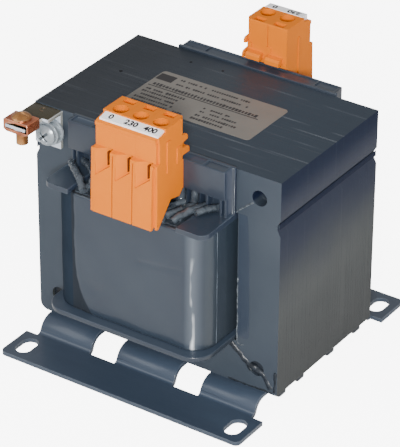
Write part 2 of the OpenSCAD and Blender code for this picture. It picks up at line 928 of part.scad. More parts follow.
// Bent clamp that rides on the tongue and holds the earth wire
module earth_saddle() {
  color("Peru")
    translate([-saddle_x, -saddle_y, 0])
      difference() {
        along_y(saddle_length)
          difference() {
            polygon([[-saddle_half, saddle_high], [-saddle_half, saddle_low],
              [-saddle_half + 1.6, saddle_low - 0.9], [saddle_half - 1.6, saddle_low - 0.9],
              [saddle_half, saddle_low], [saddle_half, saddle_high]]);
            translate([-tongue_width / 2 - 0.05, saddle_low + 0.4])
              square([tongue_width + 0.1, saddle_high - saddle_low - 1.7]);
          }
        cylinder(d = saddle_screw_diameter + 0.3, h = 2 * core_top);
      }
}

// Slotted dome-headed screw threaded through the tongue
module earth_saddle_screw() {
  color("Peru")
    translate([-saddle_x, -saddle_y, 0])
      difference() {
        union() {
          translate([0, 0, saddle_high])
            intersection() {
              cylinder(r = saddle_head_radius, h = 1.9);
              translate([0, 0, 1.9 - 1.4 * saddle_head_radius])
                sphere(r = 1.4 * saddle_head_radius);
            }
          translate([0, 0, bracket_top - bracket_thickness - saddle_screw_reach])
            cylinder(d = saddle_screw_diameter,
              h = saddle_high + 0.4 - bracket_top + bracket_thickness + saddle_screw_reach);
        }
        translate([-4, -0.4, saddle_high + 1])
          cube([8, 0.8, 2]);
      }
}

e_sheets();
i_sheets();
bobbin();
primary_winding();
winding_insulation();
secondary_winding();
outer_wrap();
lead_wires();
front_foot();
back_foot();
core_weld_seams();
foot_welds();
front_pole_1();
front_pole_2();
front_pole_3();
front_end_plate();
back_pole_1();
back_pole_2();
back_end_plate();
terminal_cages();
terminal_screws();
terminal_posts();
front_tag_1();
front_tag_2();
front_tag_3();
back_tag_1();
back_tag_2();
rating_label();
earth_bracket();
earth_screw();
earth_spring_washer();
earth_flat_washers();
earth_nut();
earth_saddle();
earth_saddle_screw();
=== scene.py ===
"""Dresses the laminated chassis transformer: finishes, sheet edges, threads, print and varnish runs."""

import logging
import math
from dataclasses import dataclass, field
from enum import Enum
from typing import Iterable, Optional, Sequence

import bmesh
import bpy
from mathutils import Matrix, Vector


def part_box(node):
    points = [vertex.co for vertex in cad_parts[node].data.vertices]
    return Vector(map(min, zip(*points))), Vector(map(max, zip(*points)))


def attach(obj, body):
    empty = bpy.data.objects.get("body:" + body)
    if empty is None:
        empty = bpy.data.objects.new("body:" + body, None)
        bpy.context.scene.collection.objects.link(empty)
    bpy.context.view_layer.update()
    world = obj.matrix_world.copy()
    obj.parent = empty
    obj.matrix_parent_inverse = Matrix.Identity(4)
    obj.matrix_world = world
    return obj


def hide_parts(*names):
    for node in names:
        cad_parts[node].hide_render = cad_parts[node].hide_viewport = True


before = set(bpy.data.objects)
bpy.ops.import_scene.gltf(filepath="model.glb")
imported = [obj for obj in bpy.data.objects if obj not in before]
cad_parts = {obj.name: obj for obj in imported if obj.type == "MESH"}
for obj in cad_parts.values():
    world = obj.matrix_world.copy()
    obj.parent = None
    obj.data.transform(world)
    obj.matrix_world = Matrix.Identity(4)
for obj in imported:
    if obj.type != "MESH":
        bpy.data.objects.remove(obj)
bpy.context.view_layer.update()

log = logging.getLogger("transformer")
MM = 0.001
Colour = tuple[float, float, float]
Socket = bpy.types.NodeSocket
FLOAT = "NodeSocketFloat"
INTEGER = "NodeSocketInt"
COLOUR = "NodeSocketColor"
VECTOR = "NodeSocketVector"


def srgb(red: int, green: int, blue: int) -> Colour:
    """Turn display values of 0 to 255 into the linear colour that shaders take.

    Args:
        red: Red of 0 to 255.
        green: Green of 0 to 255.
        blue: Blue of 0 to 255.

    Returns:
        The linear red, green and blue.
    """
    values = (v / 255.0 for v in (red, green, blue))
    return tuple(v / 12.92 if v <= 0.04045 else ((v + 0.055) / 1.055) ** 2.4 for v in values)


def mm(x: float, y: float, z: float) -> Vector:
    """Give a point stated in millimetres as a vector in metres."""
    return Vector((x, y, z)) * MM


def reach(node: str) -> tuple[Vector, Vector]:
    """Give the lowest and highest corners of a node of the frame in millimetres."""
    low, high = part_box(node)
    return Vector(low) / MM, Vector(high) / MM


# ---- Node helpers ----


class Tree:
    """Thin wrapper that adds and joins nodes in a node tree.

    Args:
        tree: The node tree to fill.
    """

    def __init__(self, tree: bpy.types.NodeTree) -> None:
        """Keep the tree."""
        self.tree = tree

    def add(self, kind: str, links: Optional[dict] = None, **settings: object) -> bpy.types.Node:
        """Add a node, set its properties, then set or link its inputs.

        Args:
            kind: The node's type name.
            links: Input name or index to a value, or to an output socket to link from.
            settings: Properties of the node itself.

        Returns:
            The new node.
        """
        node = self.tree.nodes.new(kind)
        for key, value in settings.items():
            setattr(node, key, value)
        for key, value in (links or {}).items():
            self.feed(node.inputs[key], value)
        return node

    def feed(self, socket: Socket, value: object) -> None:
        """Link an output to this input, or set the input's own value.

        Args:
            socket: The input.
            value: An output socket, or a plain value.
        """
        if isinstance(value, bpy.types.NodeSocket):
            self.tree.links.new(value, socket)
        elif isinstance(value, tuple) and socket.type == "RGBA":
            socket.default_value = (*value[:3], 1.0)
        else:
            socket.default_value = value

    def maths(self, operation: str, first: object, second: object = 0.0, clamp: bool = False) -> Socket:
        """Add a maths node.

        Args:
            operation: Name of the operation.
            first: Socket or number.
            second: Socket or number.
            clamp: Whether the result stays between 0 and 1.

        Returns:
            The output socket.
        """
        node = self.add("ShaderNodeMath", {0: first, 1: second}, operation=operation)
        node.use_clamp = clamp
        return node.outputs[0]

    def vector(self, operation: str, first: object, second: object) -> Socket:
        """Add a vector maths node.

        Args:
            operation: Name of the operation.
            first: Socket or vector.
            second: Socket or vector, and for SCALE a number.

        Returns:
            The output socket: a number for DOT_PRODUCT, otherwise a vector.
        """
        other = "Scale" if operation == "SCALE" else 1
        node = self.add("ShaderNodeVectorMath", {0: first, other: second}, operation=operation)
        return node.outputs["Value" if operation == "DOT_PRODUCT" else "Vector"]

    def noise(self, at: Socket, scale: object, detail: float, roughness: float = 0.5) -> Socket:
        """Add a noise texture.

        Args:
            at: The coordinates that it is read at.
            scale: Socket or number.
            detail: How many finer layers it has.
            roughness: The weight of the finer layers.

        Returns:
            The socket of its value.
        """
        return self.add("ShaderNodeTexNoise", {"Vector": at, "Scale": scale, "Detail": detail,
                                               "Roughness": roughness}).outputs["Fac"]

    def mix(self, factor: object, first: object, second: object) -> Socket:
        """Mix two colours.

        Args:
            factor: Share of the second colour.
            first: The colour at a factor of 0.
            second: The colour at a factor of 1.

        Returns:
            The colour socket.
        """
        return self.add("ShaderNodeMix", {0: factor, 6: first, 7: second}, data_type="RGBA").outputs[2]

    def span(self, value: object, low: float, high: float, out_low: float = 0.0,
             out_high: float = 1.0) -> Socket:
        """Map a range of a value to another range, clamped, and return the socket."""
        return self.add("ShaderNodeMapRange", {0: value, 1: low, 2: high, 3: out_low, 4: out_high}).outputs[0]

    def place(self) -> Socket:
        """Give the socket of the object's own coordinates, in metres."""
        return self.add("ShaderNodeTexCoord").outputs["Object"]

    def split(self, vector: Socket) -> bpy.types.bpy_prop_collection:
        """Split a vector into sockets named X, Y and Z."""
        return self.add("ShaderNodeSeparateXYZ", {0: vector}).outputs

    def facing(self) -> bpy.types.bpy_prop_collection:
        """Give the way that a face points, as sockets named X, Y and Z."""
        return self.split(self.add("ShaderNodeNewGeometry").outputs["True Normal"])


def new_group(name: str, ins: Sequence[tuple], outs: Sequence[tuple]) -> tuple:
    """Make a shader node group with named sockets.

    Args:
        name: The group's name.
        ins: Name, socket type and default of each input.
        outs: Name and socket type of each output.

    Returns:
        The group, its Tree wrapper, the sockets that it takes in and the sockets that it puts out.
    """
    group = bpy.data.node_groups.new(name, "ShaderNodeTree")
    for title, kind, default in ins:
        socket = group.interface.new_socket(name=title, in_out="INPUT", socket_type=kind)
        socket.default_value = (*default, 1.0) if kind == COLOUR else default
    for title, kind in outs:
        group.interface.new_socket(name=title, in_out="OUTPUT", socket_type=kind)
    tree = Tree(group)
    return group, tree, tree.add("NodeGroupInput").outputs, tree.add("NodeGroupOutput").inputs


class Axis(Enum):
    """Direction in which a pattern is drawn out, as the scale of its three axes."""

    ACROSS = (0.2, 1.0, 1.0)
    EVEN = (1.0, 1.0, 1.0)


class ShaderGroups:
    """The effects that several finishes share, each built once as a node group."""

    def __init__(self) -> None:
        """Build every group."""
        self.mottle = self._mottle()
        self.sheet_edges = self._sheet_edges()
        self.grain = self._grain()
        self.edge_wear = self._edge_wear()
        self.flow = self._flow()
        self.painted_face_light = self._painted_face_light()

    @staticmethod
    def _mottle() -> bpy.types.NodeTree:
        """Build cloudy variation between two colours, as in a coat of varnish.

        Returns:
            The group.
        """
        group, tree, ins, outs = new_group(
            "varnish_mottle",
            [("Light", COLOUR, (0.5, 0.5, 0.5)), ("Dark", COLOUR, (0.2, 0.2, 0.2)),
             ("Scale", FLOAT, 60.0), ("Contrast", FLOAT, 0.5), ("Stretch", VECTOR, (1.0, 1.0, 1.0))],
            [("Color", COLOUR), ("Fac", FLOAT)],
        )
        at = tree.vector("MULTIPLY", tree.place(), ins["Stretch"])
        shifted = tree.maths("SUBTRACT", tree.noise(at, ins["Scale"], 5.0, 0.6), 0.5)
        gain = tree.maths("MULTIPLY", ins["Contrast"], 4.0)
        mask = tree.maths("ADD", tree.maths("MULTIPLY", shifted, gain), 0.5, clamp=True)
        tree.feed(outs["Color"], tree.mix(mask, ins["Dark"], ins["Light"]))
        tree.feed(outs["Fac"], mask)
        return group

    @staticmethod
    def _sheet_edges() -> bpy.types.NodeTree:
        """Build the fine lines of stacked sheets, whose tone changes from sheet to sheet.

        Returns:
            The group.
        """
        group, tree, ins, outs = new_group(
            "sheet_edges",
            [("Pitch", FLOAT, 0.0005), ("Tone", FLOAT, 0.3), ("Reach", FLOAT, 3.0)],
            [("Fac", FLOAT), ("Line", FLOAT)],
        )
        place = tree.split(tree.place())
        sheet = tree.maths("DIVIDE", place["Y"], ins["Pitch"])
        along = tree.maths("MULTIPLY", tree.maths("ADD", place["X"], place["Z"]), ins["Reach"])
        at = tree.add("ShaderNodeCombineXYZ", {0: tree.maths("FLOOR", sheet), 1: along}).outputs[0]
        shifted = tree.maths("SUBTRACT", tree.noise(at, 0.9, 2.0), 0.5)
        tree.feed(outs["Fac"], tree.maths("MULTIPLY", shifted, ins["Tone"]))
        picked = tree.add("ShaderNodeTexWhiteNoise", {"W": tree.maths("FLOOR", sheet)}, noise_dimensions="1D")
        upward = tree.span(tree.facing()["Z"], 0.6, 0.9, 0.12, 1.0)
        rare = tree.maths("MULTIPLY", tree.span(picked.outputs["Value"], 0.87, 0.93), upward)
        line = tree.maths("MULTIPLY", rare, tree.span(tree.noise(at, 14.0, 2.0), 0.45, 0.62))
        thin = tree.span(tree.maths("PINGPONG", sheet, 0.5), 0.3, 0.1)
        tree.feed(outs["Line"], tree.maths("MULTIPLY", line, thin))
        return group

    @staticmethod
    def _grain() -> bpy.types.NodeTree:
        """Build a fine even grain for moulded, plated or cast surfaces.

        Returns:
            The group.
        """
        group, tree, ins, outs = new_group(
            "fine_grain",
            [("Scale", FLOAT, 900.0), ("Stretch", VECTOR, (1.0, 1.0, 1.0))],
            [("Fac", FLOAT)],
        )
        at = tree.vector("MULTIPLY", tree.place(), ins["Stretch"])
        tree.feed(outs["Fac"], tree.noise(at, ins["Scale"], 3.0))
        return group

    @staticmethod
    def _edge_wear() -> bpy.types.NodeTree:
        """Build a mask that is high along sharp edges, broken up by noise.

        Returns:
            The group.
        """
        group, tree, ins, outs = new_group(
            "edge_wear",
            [("Width", FLOAT, 0.0005), ("Amount", FLOAT, 0.5), ("Patch", FLOAT, 250.0)],
            [("Mask", FLOAT)],
        )
        rounded = tree.add("ShaderNodeBevel", {"Radius": ins["Width"]}, samples=4).outputs[0]
        flat = tree.add("ShaderNodeNewGeometry").outputs["Normal"]
        edge = tree.span(tree.vector("DOT_PRODUCT", rounded, flat), 0.995, 0.9)
        patch = tree.span(tree.noise(tree.place(), ins["Patch"], 3.0), 0.35, 0.6)
        worn = tree.maths("MULTIPLY", edge, patch)
        tree.feed(outs["Mask"], tree.maths("MULTIPLY", worn, ins["Amount"], clamp=True))
        return group

    @staticmethod
    def _painted_face_light() -> bpy.types.NodeTree:
        """Build painted light and shade by the way a face points: a top colour painted for how light falls on
        top, and on the sides a painted reflection, dark above and paler low down.

        Returns:
            The group.
        """
        group, tree, ins, outs = new_group(
            "painted_face_light",
            [("Color", COLOUR, (0.5, 0.5, 0.5)), ("Top", COLOUR, (0.3, 0.3, 0.3)),
             ("Side High", COLOUR, (0.2, 0.2, 0.3)), ("Side Low", COLOUR, (0.5, 0.5, 0.4)),
             ("Low Z", FLOAT, 0.034), ("High Z", FLOAT, 0.064)],
            [("Color", COLOUR)],
        )
        facing = tree.facing()
        place = tree.place()
        drift = tree.maths("MULTIPLY", tree.maths("SUBTRACT", tree.noise(place, 28.0, 4.0), 0.5), 0.03)
        height = tree.maths("ADD", tree.split(place)["Z"], drift)
        share = tree.add("ShaderNodeMapRange", {0: height, 1: ins["Low Z"], 2: ins["High Z"]},
                         interpolation_type="SMOOTHSTEP")
        side = tree.mix(share.outputs[0], ins["Side Low"], ins["Side High"])
        sideways = tree.span(tree.maths("ABSOLUTE", facing["X"]), 0.7, 0.9)
        upward = tree.span(facing["Z"], 0.6, 0.9)
        tree.feed(outs["Color"], tree.mix(upward, tree.mix(sideways, ins["Color"], side), ins["Top"]))
        return group

    @staticmethod
    def _flow() -> bpy.types.NodeTree:
        """Build the soft waves that dipped varnish leaves as it runs down.

        Returns:
            The group.
        """
        group, tree, ins, outs = new_group(
            "varnish_flow",
            [("Scale", FLOAT, 90.0), ("Stretch", VECTOR, (1.0, 1.0, 0.3))],
            [("Height", FLOAT)],
        )
        at = tree.vector("MULTIPLY", tree.place(), ins["Stretch"])
        tree.feed(outs["Height"], tree.noise(at, ins["Scale"], 1.0))
        return group


# ---- Finishes ----


@dataclass(frozen=True)
class Finish:
    """A surface finish that becomes one material.

    Attributes mirror what a painter would state: two colours that mottle into each other,
    gloss, how worn the edges are and how rough the coat feels.
    """

    name: str
    light: Colour
    dark: Colour
    roughness: float = 0.4
    metallic: float = 0.0
    coat: float = 0.0
    coat_roughness: float = 0.15
    specular: float = 0.5
    mottle_scale: float = 60.0
    contrast: float = 0.5
    stretch: Axis = Axis.EVEN
    grain_scale: float = 900.0
    grain_height: float = 0.00002
    flow_height: float = 0.0
    flow_scale: float = 90.0
    wear: float = 0.0
    wear_colour: Colour = (0.5, 0.5, 0.5)
    sheet_tone: float = 0.0
    sheet_line: Colour = srgb(165, 171, 178)
    # top, side_high and side_low paint light by the way a face points: the top colour for how light falls on
    # top, the side colours a painted reflection, dark above and pale low down.
    top: Optional[Colour] = None
    side_high: Optional[Colour] = None
    side_low: Optional[Colour] = None
    edge_radius: float = 0.0

    def material(self, groups: ShaderGroups) -> bpy.types.Material:
        """Build the material once and return it, or the one that is there already.

        Args:
            groups: The shared shader node groups.

        Returns:
            The finished material.
        """
        if self.name in bpy.data.materials:
            return bpy.data.materials[self.name]
        made = bpy.data.materials.new(self.name)
        made.use_nodes = True
        made.node_tree.nodes.clear()
        tree = Tree(made.node_tree)
        mottle = tree.add("ShaderNodeGroup", {
            "Light": self.light, "Dark": self.dark, "Scale": self.mottle_scale, "Contrast": self.contrast,
            "Stretch": self.stretch.value}, node_tree=groups.mottle)
        normal = tree.add("ShaderNodeBump", {"Height": self._height(tree, groups), "Strength": 1.0,
                                             "Distance": 1.0})
        if self.edge_radius:
            rounded = tree.add("ShaderNodeBevel", {"Radius": self.edge_radius * MM}, samples=4)
            tree.feed(normal.inputs["Normal"], rounded.outputs[0])
        rough = tree.span(mottle.outputs["Fac"], 0.0, 1.0, min(1.0, self.roughness + 0.06),
                          max(0.02, self.roughness - 0.06))
        shader = tree.add("ShaderNodeBsdfPrincipled", {
            "Base Color": self._colour(tree, groups, mottle.outputs["Color"]), "Metallic": self.metallic,
            "Roughness": self._rough(tree, rough), "Normal": normal.outputs[0],
            "Coat Weight": self._gloss(tree), "Coat Roughness": self.coat_roughness,
            "Specular IOR Level": self.specular})
        tree.add("ShaderNodeOutputMaterial", {0: shader.outputs[0]})
        return made

    def _colour(self, tree: Tree, groups: ShaderGroups, colour: Socket) -> Socket:
        """Lay painted light and shade by the way each face points, the finish's own pattern, sheet lines and
        edge wear over a colour.

        Args:
            tree: The material's nodes.
            groups: The shared shader node groups.
            colour: The mottled colour.

        Returns:
            The socket of the finished colour.
        """
        # painted light and shade by the way each face points
        if self.top is not None:
            colour = tree.add("ShaderNodeGroup", {
                "Color": colour, "Top": self.top, "Side High": self.side_high, "Side Low": self.side_low},
                node_tree=groups.painted_face_light).outputs["Color"]
        colour = self._shade(tree, colour)
        if self.sheet_tone:
            edges = tree.add("ShaderNodeGroup", {"Tone": self.sheet_tone}, node_tree=groups.sheet_edges)
            toned = tree.vector("SCALE", colour, tree.maths("ADD", edges.outputs["Fac"], 1.0))
            colour = tree.mix(tree.maths("MULTIPLY", edges.outputs["Line"], 0.5), toned, self.sheet_line)
        if self.wear:
            worn = tree.add("ShaderNodeGroup", {"Amount": self.wear}, node_tree=groups.edge_wear)
            colour = tree.mix(worn.outputs["Mask"], colour, self.wear_colour)
        return colour

    def _height(self, tree: Tree, groups: ShaderGroups) -> Socket:
        """Add up the grain and the varnish waves.

        Args:
            tree: The material's nodes.
            groups: The shared shader node groups.

        Returns:
            The socket of the height in metres.
        """
        grain = tree.add("ShaderNodeGroup", {"Scale": self.grain_scale}, node_tree=groups.grain)
        height = tree.maths("MULTIPLY", grain.outputs["Fac"], self.grain_height)
        if self.flow_height:
            flow = tree.add("ShaderNodeGroup", {"Scale": self.flow_scale}, node_tree=groups.flow)
            waves = tree.maths("MULTIPLY", flow.outputs["Height"], self.flow_height)
            height = tree.maths("ADD", height, waves)
        return height

    def _gloss(self, tree: Tree) -> object:
        """Give the weight of the clear coat, the same all over."""
        return self.coat

    def _rough(self, tree: Tree, rough: Socket) -> Socket:
        """Leave the roughness as the mottle sets it."""
        return rough

    def _shade(self, tree: Tree, colour: Socket) -> Socket:
        """Leave the colour as it is. A finish with a pattern or a painted highlight of its own changes it
        here.
        """
        return colour


class Paint:
    """Every finish of the transformer, by the name of what it covers."""

    # The top, side_high and side_low colours below are painted shade and painted reflection by the way each
    # face points.
    CORE = Finish("varnished_core", srgb(58, 66, 75), srgb(49, 57, 67), roughness=0.5, coat=0.1,
                  coat_roughness=0.35, specular=0.3, mottle_scale=45, contrast=0.35, grain_height=0.00001,
                  flow_height=0.00006, flow_scale=70, sheet_tone=0.22, top=srgb(45, 53, 63),
                  side_high=srgb(20, 29, 50), side_low=srgb(58, 62, 62))
    SEAM = Finish("varnished_seam", srgb(44, 51, 60), srgb(34, 41, 50), roughness=0.65, specular=0.15,
                  mottle_scale=300, contrast=0.6, flow_height=0.0003, flow_scale=200, top=srgb(38, 44, 54),
                  side_high=srgb(18, 26, 46), side_low=srgb(50, 54, 56))
    RUN = Finish("varnish_run", srgb(38, 44, 52), srgb(22, 27, 33), roughness=0.4, coat=0.05, specular=0.3,
                 mottle_scale=500, contrast=0.9, flow_height=0.0003, flow_scale=260)
    # the crust ridges are real; their pale colour is partly a painted highlight along them
    CRUST_AND_HIGHLIGHT = Finish("varnish_crust", srgb(104, 112, 118), srgb(44, 50, 57), roughness=0.3, coat=0.5,
                   mottle_scale=900, contrast=1.0, flow_height=0.0004, flow_scale=600)
    POOL = Finish("varnish_pool", srgb(60, 68, 77), srgb(36, 43, 51), roughness=0.3, coat=0.4,
                  mottle_scale=260, contrast=0.9, flow_height=0.0009, flow_scale=230)
    RECESS = Finish("recess_shadow", srgb(84, 92, 98), srgb(60, 67, 74), roughness=0.5)
    SHEET = Finish("varnish_sheet", srgb(50, 59, 72), srgb(43, 52, 65), roughness=0.4, coat=0.2, specular=0.3,
                   mottle_scale=45, contrast=0.35)
    # a real ridge whose light colour is a painted highlight
    FOLD_HIGHLIGHT = Finish("fold_painted_highlight", srgb(92, 102, 112), srgb(58, 66, 76), roughness=0.3, mottle_scale=200,
                  contrast=0.8)
    FOOT = Finish("varnished_foot", srgb(60, 72, 88), srgb(45, 55, 69), roughness=0.36, coat=0.3,
                  mottle_scale=50, contrast=0.4, stretch=Axis.ACROSS, flow_height=0.00006, wear=0.5,
                  wear_colour=srgb(120, 128, 136))
    WELD = Finish("varnished_weld", srgb(52, 56, 62), srgb(34, 40, 46), roughness=0.5, coat=0.2,
                  mottle_scale=400, contrast=0.6, flow_height=0.0002, flow_scale=300)
    BOBBIN = Finish("dipped_moulding", srgb(47, 55, 66), srgb(36, 44, 56), roughness=0.35, coat=0.3,
                    specular=0.4, mottle_scale=70, contrast=0.4, flow_height=0.00006, wear=0.35,
                    wear_colour=srgb(96, 108, 120), top=srgb(48, 58, 71), side_high=srgb(40, 49, 64),
                    side_low=srgb(46, 53, 62))
    LEAD = Finish("varnished_sleeve", srgb(74, 82, 90), srgb(42, 49, 57), roughness=0.24, coat=0.6,
                  mottle_scale=250, contrast=0.9, flow_height=0.0004, flow_scale=350)
    COPPER = Finish("enamelled_copper", srgb(44, 42, 44), srgb(28, 30, 34), roughness=0.4)
    TAPE = Finish("insulating_tape", srgb(70, 70, 68), srgb(46, 48, 50), roughness=0.6)
    ORANGE = Finish("orange_moulding", srgb(228, 122, 2), srgb(220, 112, 0), roughness=0.6, specular=0.2,
                    mottle_scale=120, contrast=0.25, grain_scale=1400, grain_height=0.000005, edge_radius=0.2)
    STEEL = Finish("plated_steel", srgb(150, 130, 110), srgb(110, 96, 84), roughness=0.4, metallic=1.0)
    # dark strip that stands for the shade inside a slit: painted shade
    SLIT_SHADE = Finish("slit_painted_shade", srgb(122, 58, 22), srgb(96, 44, 16), roughness=0.7, specular=0.1)
    TAG = Finish("white_tag", srgb(255, 255, 255), srgb(252, 252, 254), roughness=0.35)
    INK = Finish("black_ink", srgb(20, 20, 24), srgb(10, 10, 14), roughness=0.5, specular=0.2)
    LABEL = Finish("silver_label", srgb(120, 116, 110), srgb(104, 100, 95), roughness=0.42,
                   mottle_scale=60, contrast=0.3)
    PRINT = Finish("label_print", srgb(46, 43, 44), srgb(36, 34, 36), roughness=0.5)
    ZINC = Finish("bright_zinc", srgb(176, 184, 190), srgb(120, 130, 136), roughness=0.3, metallic=0.35,
                  mottle_scale=300, contrast=0.7, grain_height=0.00003)
    OLIVE = Finish("dull_zinc_sheet", srgb(208, 217, 228), srgb(172, 182, 196), roughness=0.26, metallic=0.1,
                   mottle_scale=180, contrast=0.7, wear=0.5, wear_colour=srgb(250, 250, 250),
                   top=srgb(54, 48, 30), side_high=srgb(150, 152, 146), side_low=srgb(150, 152, 150))
    SADDLE = Finish("copper_plate", srgb(214, 136, 98), srgb(150, 80, 52), roughness=0.24, metallic=0.7,
                    mottle_scale=260, contrast=0.7, wear=0.6, wear_colour=srgb(240, 206, 184))
    BRASS = Finish("yellowed_screw", srgb(206, 150, 92), srgb(150, 98, 56), roughness=0.26, metallic=0.7,
                   mottle_scale=260, contrast=0.7, wear=0.6, wear_colour=srgb(240, 214, 180))


@dataclass(frozen=True)
class WrapFinish(Finish):
    """The varnished wrap: the layer below its last turn is darker, and a highlight is painted down its front
    corner.
    """

    under: Colour = srgb(24, 31, 40)
    turn_end: float = -20.4
    flare: float = 6.5
    # middle of the painted highlight on the front corner
    highlight_x: float = 25.4

    @staticmethod
    def _front(place: bpy.types.bpy_prop_collection, tree: Tree) -> Socket:
        """Build the mask of the coil's front half."""
        return tree.span(place["Y"], -28 * MM, -29 * MM)

    def _left(self, tree: Tree) -> Socket:
        """Build the mask of the front that lies left of the end of the last turn.

        Args:
            tree: The material's nodes.

        Returns:
            The mask's socket.
        """
        at = tree.place()
        place = tree.split(at)
        low = tree.span(place["Z"], 44 * MM, 25 * MM)
        flare = tree.maths("MULTIPLY", tree.maths("MULTIPLY", low, low), self.flare * MM)
        wave = tree.maths("MULTIPLY", tree.maths("SUBTRACT", tree.noise(at, 110.0, 2.0), 0.5), 1.6 * MM)
        edge = tree.maths("ADD", tree.maths("ADD", flare, self.turn_end * MM), wave)
        left = tree.span(tree.maths("SUBTRACT", place["X"], edge), 0.2 * MM, -0.3 * MM)
        return tree.maths("MULTIPLY", left, self._front(place, tree))

    def _gloss(self, tree: Tree) -> Socket:
        """Keep the clear coat off the layer below the last turn."""
        return tree.maths("MULTIPLY", tree.maths("SUBTRACT", 1.0, self._left(tree)), self.coat)

    def _rough(self, tree: Tree, rough: Socket) -> Socket:
        """Make the layer below the last turn dull."""
        return tree.maths("ADD", rough, tree.maths("MULTIPLY", self._left(tree), 0.5), clamp=True)

    def _shade(self, tree: Tree, colour: Socket) -> Socket:
        """Darken what lies left of the end of the last turn, and paint a highlight down the front corner.

        Args:
            tree: The material's nodes.
            colour: The colour so far.

        Returns:
            The changed colour's socket.
        """
        at = tree.place()
        place = tree.split(at)
        shaded = tree.mix(self._left(tree), colour, self.under)
        highlight_breaks = tree.noise(tree.vector("MULTIPLY", at, (1.0, 1.0, 0.3)), 300.0, 1.0)
        broken = (tree.span(highlight_breaks, 0.46, 0.6), tree.span(place["Z"], 60 * MM, 53 * MM))
        # painted highlight down the front corner: a soft pale glow, then a narrow bright streak broken along
        # its length
        highlight_bands = ((2.8, 0.2, srgb(150, 160, 170), ()), (0.85, 0.85, srgb(232, 238, 243), broken))
        for width, gain, highlight_colour, masks in highlight_bands:
            rise = tree.span(place["X"], (self.highlight_x - width) * MM, self.highlight_x * MM)
            fall = tree.span(place["X"], (self.highlight_x + width) * MM, self.highlight_x * MM)
            highlight = tree.maths("MULTIPLY", tree.maths("MULTIPLY", rise, fall), self._front(place, tree))
            for mask in masks:
                highlight = tree.maths("MULTIPLY", highlight, mask)
            shaded = tree.mix(tree.maths("MULTIPLY", highlight, gain), shaded, highlight_colour)
        return shaded


WRAP = WrapFinish("varnished_wrap", srgb(43, 53, 64), srgb(34, 43, 56), roughness=0.34, coat=0.5,
                  coat_roughness=0.14, specular=0.35, mottle_scale=35, contrast=0.5, flow_height=0.00015,
                  flow_scale=45, grain_height=0.00001, top=srgb(48, 56, 64), side_high=srgb(44, 54, 64),
                  side_low=srgb(46, 54, 62))
UNDER = Finish("wrap_under_turn", srgb(40, 49, 60), srgb(32, 40, 50), roughness=0.8, specular=0.02,
               mottle_scale=40, contrast=0.5)


# ---- Mesh helpers ----


def linked(name: str, data: bpy.types.ID) -> bpy.types.Object:
    """Make an object from its data and link it to the scene.

    Args:
        name: Name of the object.
        data: Its mesh, curve, lamp or camera.

    Returns:
        The object.
    """
    made = bpy.data.objects.new(name, data)
    bpy.context.scene.collection.objects.link(made)
    return made


def plain_mesh(holder: bpy.types.Object, name: str) -> bpy.types.Object:
    """Turn an object with modifiers or curves into a plain mesh object at the origin.

    Args:
        holder: The object to evaluate. It is removed afterwards.
        name: Name of the new object.

    Returns:
        The plain mesh object.
    """
    bpy.context.view_layer.update()
    graph = bpy.context.evaluated_depsgraph_get()
    evaluated = holder.evaluated_get(graph)
    mesh = bpy.data.meshes.new_from_object(evaluated, preserve_all_data_layers=True, depsgraph=graph)
    mesh.transform(holder.matrix_world)
    bpy.data.objects.remove(holder, do_unlink=True)
    return linked(name, mesh)


def mesh_object(name: str, points: Iterable[Vector], faces: Iterable[Sequence[int]]) -> bpy.types.Object:
    """Make a mesh object from points in metres and faces.

    Args:
        name: Name of the object.
        points: Its corners in metres.
        faces: For each face the numbers of its corners.

    Returns:
        The object, linked to the scene.
    """
    mesh = bpy.data.meshes.new(name)
    mesh.from_pydata([tuple(p) for p in points], [], [tuple(f) for f in faces])
    mesh.validate()
    return linked(name, mesh)


def poured(shape: bmesh.types.BMesh, name: str) -> bpy.types.Object:
    """Pour a bmesh into a new mesh object.

    Args:
        shape: The bmesh. It is freed.
        name: Name of the object.

    Returns:
        The object, linked to the scene.
    """
    mesh = bpy.data.meshes.new(name)
    shape.to_mesh(mesh)
    shape.free()
    return linked(name, mesh)


def plate_faces(count: int, first: int = 0) -> list[tuple[int, ...]]:
    """List the faces of a closed plate.

    Args:
        count: Corners of its outer face, which the same number of inner corners follow.
        first: The number of the first corner.

    Returns:
        For each face the numbers of its corners.
    """
    outer = [first + i for i in range(count)]
    inner = [first + count + i for i in range(count)]
    steps = [(i, (i + 1) % count) for i in range(count)]
    sides = [(outer[i], inner[i], inner[j], outer[j]) for i, j in steps]
    return [tuple(outer), tuple(reversed(inner))] + sides


def solid_plate(name: str, outline: Sequence[Vector], push: Vector) -> bpy.types.Object:
    """Make a closed plate.

    Args:
        name: Name of the plate.
        outline: Corners of its outer face in metres, anticlockwise when seen from outside.
        push: The way from the outer face to the inner one.

    Returns:
        The plate.
    """
    return mesh_object(name, list(outline) + [p + push for p in outline], plate_faces(len(outline)))


def smooth(piece: bpy.types.Object, degrees: float = 35.0) -> None:
    """Shade a piece smooth.

    Args:
        piece: The piece.
        degrees: Edges sharper than this stay sharp.
    """
    for face in piece.data.polygons:
        face.use_smooth = True
    piece.data.set_sharp_from_angle(angle=math.radians(degrees))


def dress(piece: bpy.types.Object, finish: Finish, groups: ShaderGroups) -> None:
    """Give a whole piece one finish.

    Args:
        piece: The piece.
        finish: Its finish.
        groups: The shared shader node groups.
    """
    piece.data.materials.clear()
    piece.data.materials.append(finish.material(groups))


def settle(piece: bpy.types.Object, node: Optional[str] = None) -> None:
    """Fix a piece to the object, and let it stand for a node.

    Args:
        piece: The finished piece.
        node: The node that the piece replaces, if any.
    """
    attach(piece, "root")
    if node:
        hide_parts(node)
    log.info("%s: %d faces", piece.name, len(piece.data.polygons))


